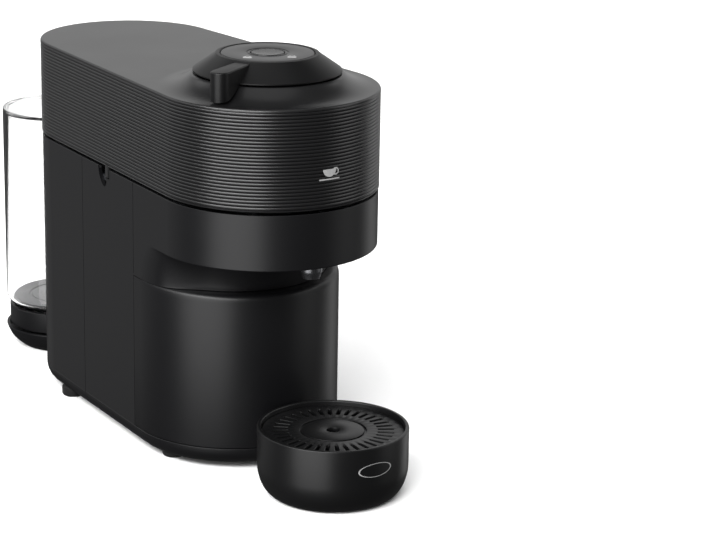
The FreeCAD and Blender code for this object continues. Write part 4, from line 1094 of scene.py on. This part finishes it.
class MACHINE_OT_tank(bpy.types.Operator):
    """Builds the clear tank, its lid, its grey plate and its foot"""
    bl_idname = "machine.tank"
    bl_label = "Water tank"

    def execute(self, context):
        centre = (0, TANK_Y)
        r, low, top = TANK_HIGH.x, TANK_LOW.z, TANK_HIGH.z
        wall, heel, lip = 2 * MM, 8 * MM, 0.6 * MM
        bore = 5 * MM
        outer = [(r - heel * (1 - s), low + heel * (1 - c)) for s, c in quarter(8)]
        inner = [(r - wall - (heel - wall) * (1 - s), low + wall + (heel - wall) * (1 - c))
                 for s, c in quarter(8)]
        rim = [(r - lip * (1 - c), top - lip * (1 - s)) for s, c in quarter(3)]
        rim += [(r - wall + lip, top), (r - wall, top - lip)]
        bm = lathe([(bore, low)] + outer + rim + inner[::-1] + [(bore, low + wall)], centre, closed=True,
                   steps=144)
        shell = join_to(bm, "tank_shell")
        finish(shell, "clear_plastic", "tank", ["tank_wall"])

        z = LID_HIGH.z
        plug = r - wall - 0.4 * MM
        below = [(0, z - 2.6 * MM), (plug - 2 * MM, z - 2.6 * MM), (plug - 2 * MM, LID_LOW.z),
                 (plug, LID_LOW.z), (plug, z - 1.7 * MM), (r - 0.3 * MM, z - 1.7 * MM)]
        above = [(r, z - 1.4 * MM), (r, z - 0.6 * MM), (r - 0.5 * MM, z), (r - 3 * MM, z),
                 (r - 4 * MM, z - 0.8 * MM), (0, z - 0.8 * MM)]
        bm = lathe(below + above, centre, steps=144)
        lid = join_to(bm, "tank_cover")
        finish(lid, "clear_plastic", "lid", ["tank_lid"])

        low, high, edge = PLATE_LOW.z, PLATE_HIGH.z, PLATE_HIGH.x
        eye = 7 * MM
        groove = [(24 * MM, high), (23.4 * MM, high - 0.4 * MM), (22 * MM, high - 0.4 * MM),
                  (21.4 * MM, high)]
        bm = lathe([(eye, low), (edge - 2 * MM, low), (edge, high - 0.3 * MM), (edge - 0.3 * MM, high)]
                   + groove + [(eye, high)], centre, closed=True)
        plate = join_to(bm, "tank_plate")
        finish(plate, "grey_plastic", "tank", ["tank_floor"], look="tank_plate")

        low, high, edge = COLLAR_LOW.z, COLLAR_HIGH.z, COLLAR_HIGH.x
        wall, neck_in, neck_out = 2.4 * MM, 4.6 * MM, 7 * MM
        skirt = [(edge - 1 * MM, low), (edge - 0.3 * MM, low + 0.3 * MM), (edge, low + 1 * MM),
                 (edge, high - 0.3 * MM), (edge - 0.3 * MM, high), (edge - wall, high)]
        bm = lathe([(neck_in, low)] + skirt + [(edge - wall, low + wall), (neck_out, low + wall),
                                               (neck_out, high), (neck_in, high)], centre, closed=True)
        collar = join_to(bm, "tank_foot")
        finish(collar, "holder_plastic", "tank", ["tank_collar"])
        return {"FINISHED"}


# Working parts inside

class MACHINE_OT_inner_parts(bpy.types.Operator):
    """Gives every part that is carried over its own material"""
    bl_idname = "machine.inner_parts"
    bl_label = "Inner parts"

    def execute(self, context):
        for part in frame["record"]["subparts"]:
            node = frame["nodes"][part["node"]]
            if node.hide_render:
                continue
            node.data.materials.clear()
            node.data.materials.append(finish_for(part["material_slot"]))
        return {"FINISHED"}


# Studio

def softbox(name, azimuth, reach, low, high, width, radiance):
    """An upright soft panel round the machine, facing its middle. Azimuth is from the machine's right."""
    light = bpy.data.lights.new(name, "AREA")
    light.shape = "RECTANGLE"
    light.size = width
    light.size_y = high - low
    light.energy = math.pi * width * (high - low) * radiance
    angle = math.radians(azimuth)
    out = Vector((math.cos(angle), math.sin(angle), 0))
    lamp = bpy.data.objects.new(name, light)
    lamp.location = out * reach + UP * (low + high) / 2
    lamp.rotation_euler = (-out).to_track_quat("-Z", "Y").to_euler()
    lamp.visible_camera = False
    bpy.context.scene.collection.objects.link(lamp)


# Name, azimuth in degrees, reach, low, high and width in metres, radiance
PANELS = (
    ("key panel", 210, 1.3, -0.54, 0.9, 1.25, 1.85),
    ("upper key panel", 205, 1.3, 0.9, 1.6, 1.9, 7.5),
    ("left panel", 118, 1.2, -0.5, 0.5, 1.3, 0.16),
    ("upper left panel", 125, 1.2, 0.5, 1.5, 1.5, 0.7),
    ("back panel", 55, 1.5, 0.05, 1.2, 1.8, 0.62),
    ("right panel", 6, 1.2, -0.5, 1.1, 0.45, 0.82),
    ("front right panel", 320, 1.4, -0.4, 0.7, 0.7, 0.42),
    ("upper right panel", 330, 1.4, 0.7, 1.5, 1.0, 1.2),
)


def seen_straight(tree):
    """One where the background is seen directly or through the clear tank, nought where it is mirrored."""
    ray = add_node(tree, "ShaderNodeLightPath")
    return add_node(tree, "ShaderNodeMath", links={0: ray.outputs["Is Camera Ray"],
                                                   1: ray.outputs["Is Transmission Ray"]},
                    operation="MAXIMUM").outputs["Value"]


def seamless_paper(name, base):
    """Matt seamless paper. It shows as paper, and lets the low panels shine through to the machine."""
    material, tree, shader, place = new_material(name, base, 0.9, ior=1.4)
    shader.inputs["Specular IOR Level"].default_value = 0.0
    fibre = add_node(tree, "ShaderNodeTexNoise", {"Scale": 1 / (30 * MM), "Detail": 4.0}, {"Vector": place})
    vary(tree, shader, fibre.outputs["Fac"], (0.995, 1.005))
    clear = add_node(tree, "ShaderNodeBsdfTransparent")
    mix = add_node(tree, "ShaderNodeMixShader", links={0: seen_straight(tree), 1: clear.outputs["BSDF"],
                                                       2: shader.outputs["BSDF"]})
    tree.links.new(mix.outputs["Shader"], tree.nodes["Material Output"].inputs["Surface"])
    return material


WHITE = (1, 1, 1, 1)
BACKDROP, GLOW = 1.05, 0.06      # strength of the paper sweep as it is seen, and of its light
EYE_ANGLES = (-34.7855, 16.6277, -1.0317)    # turn, rise and roll of the camera, in degrees
EYE_TARGET = (0.07194, -0.0923, 0.10673)
EYE_REACH = 1.56606
EYE_LENS = 123.71


class MACHINE_OT_stage(bpy.types.Operator):
    """Sets up the pale floor, the soft lights and the camera"""
    bl_idname = "machine.stage"
    bl_label = "Studio"

    def execute(self, context):
        scene = context.scene
        bm = bmesh.new()
        bmesh.ops.create_grid(bm, x_segments=1, y_segments=1, size=6.0)
        floor = join_to(bm, "floor")
        floor.data.materials.append(seamless_paper("Seamless paper", scene.machine_colours.floor))

        world = bpy.data.worlds.new("studio")
        scene.world = world
        world.use_nodes = True
        tree = world.node_tree
        glow = tree.nodes["Background"]
        glow.inputs["Color"].default_value = WHITE
        glow.inputs["Strength"].default_value = GLOW
        backdrop = add_node(tree, "ShaderNodeBackground", {"Color": WHITE, "Strength": BACKDROP})
        mix = add_node(tree, "ShaderNodeMixShader", links={0: seen_straight(tree),
                                                           1: glow.outputs["Background"],
                                                           2: backdrop.outputs["Background"]})
        tree.links.new(mix.outputs["Shader"], tree.nodes["World Output"].inputs["Surface"])

        for panel in PANELS:
            softbox(*panel)
        overhead = bpy.data.lights.new("overhead panel", "AREA")
        overhead.size, radiance = 1.2, 0.3
        overhead.energy = math.pi * overhead.size ** 2 * radiance
        lamp = bpy.data.objects.new("overhead panel", overhead)
        lamp.location = (-0.2, -0.2, 1.3)
        lamp.visible_camera = False
        scene.collection.objects.link(lamp)

        paper_light = bpy.data.lights.new("paper light", "SUN")
        paper_light.energy = 3.3
        paper_light.angle = math.radians(70)
        sun = bpy.data.objects.new("paper light", paper_light)
        sun.rotation_euler = (math.radians(12), math.radians(-14), 0)
        scene.collection.objects.link(sun)
        lit = bpy.data.collections.new("paper only")
        lit.objects.link(floor)
        sun.light_linking.receiver_collection = lit
        scene.view_settings.view_transform = "Standard"

        camera = bpy.data.cameras.new("camera")
        camera.sensor_width = 36
        camera.lens = EYE_LENS
        camera.clip_end = 30
        eye = bpy.data.objects.new("camera", camera)
        turn, rise, roll = (math.radians(degrees) for degrees in EYE_ANGLES)
        back = Vector((math.sin(turn) * math.cos(rise), -math.cos(turn) * math.cos(rise), math.sin(rise)))
        right = Vector((math.cos(turn), math.sin(turn), 0))
        up = back.cross(right)
        across = right * math.cos(roll) - up * math.sin(roll)
        above = right * math.sin(roll) + up * math.cos(roll)
        eye.matrix_world = Matrix.Translation(Vector(EYE_TARGET) + back * EYE_REACH) @ Matrix(
            (across, above, back)).transposed().to_4x4()
        scene.collection.objects.link(eye)
        scene.camera = eye
        return {"FINISHED"}


STEPS = (MACHINE_OT_cap, MACHINE_OT_hinge_cover, MACHINE_OT_cup_mark, MACHINE_OT_body, MACHINE_OT_bay,
         MACHINE_OT_container, MACHINE_OT_knob, MACHINE_OT_disc, MACHINE_OT_button, MACHINE_OT_stand,
         MACHINE_OT_grid, MACHINE_OT_spout, MACHINE_OT_feet, MACHINE_OT_tank, MACHINE_OT_inner_parts,
         MACHINE_OT_stage)


class MACHINE_PT_panel(bpy.types.Panel):
    """Sizes, colours and build steps of the coffee machine"""
    bl_idname = "MACHINE_PT_panel"
    bl_label = "Pod Coffee Machine"
    bl_space_type = "VIEW_3D"
    bl_region_type = "UI"
    bl_category = "Machine"

    def draw(self, context):
        layout = self.layout
        for group in (context.scene.machine_sizes, context.scene.machine_colours):
            box = layout.box()
            for name in group.bl_rna.properties.keys():
                if name not in ("rna_type", "name"):
                    box.prop(group, name)
        for step in STEPS:
            layout.operator(step.bl_idname)


def register():
    for made in (MachineSizes, MachineColours, *STEPS, MACHINE_PT_panel):
        bpy.utils.register_class(made)
    bpy.types.Scene.machine_sizes = PointerProperty(type=MachineSizes)
    bpy.types.Scene.machine_colours = PointerProperty(type=MachineColours)


def unregister():
    del bpy.types.Scene.machine_colours
    del bpy.types.Scene.machine_sizes
    for made in (MACHINE_PT_panel, *reversed(STEPS), MachineColours, MachineSizes):
        bpy.utils.unregister_class(made)


def main():
    register()
    for step in STEPS:
        group, name = step.bl_idname.split(".")
        getattr(getattr(bpy.ops, group), name)()


if __name__ == "__main__":
    main()
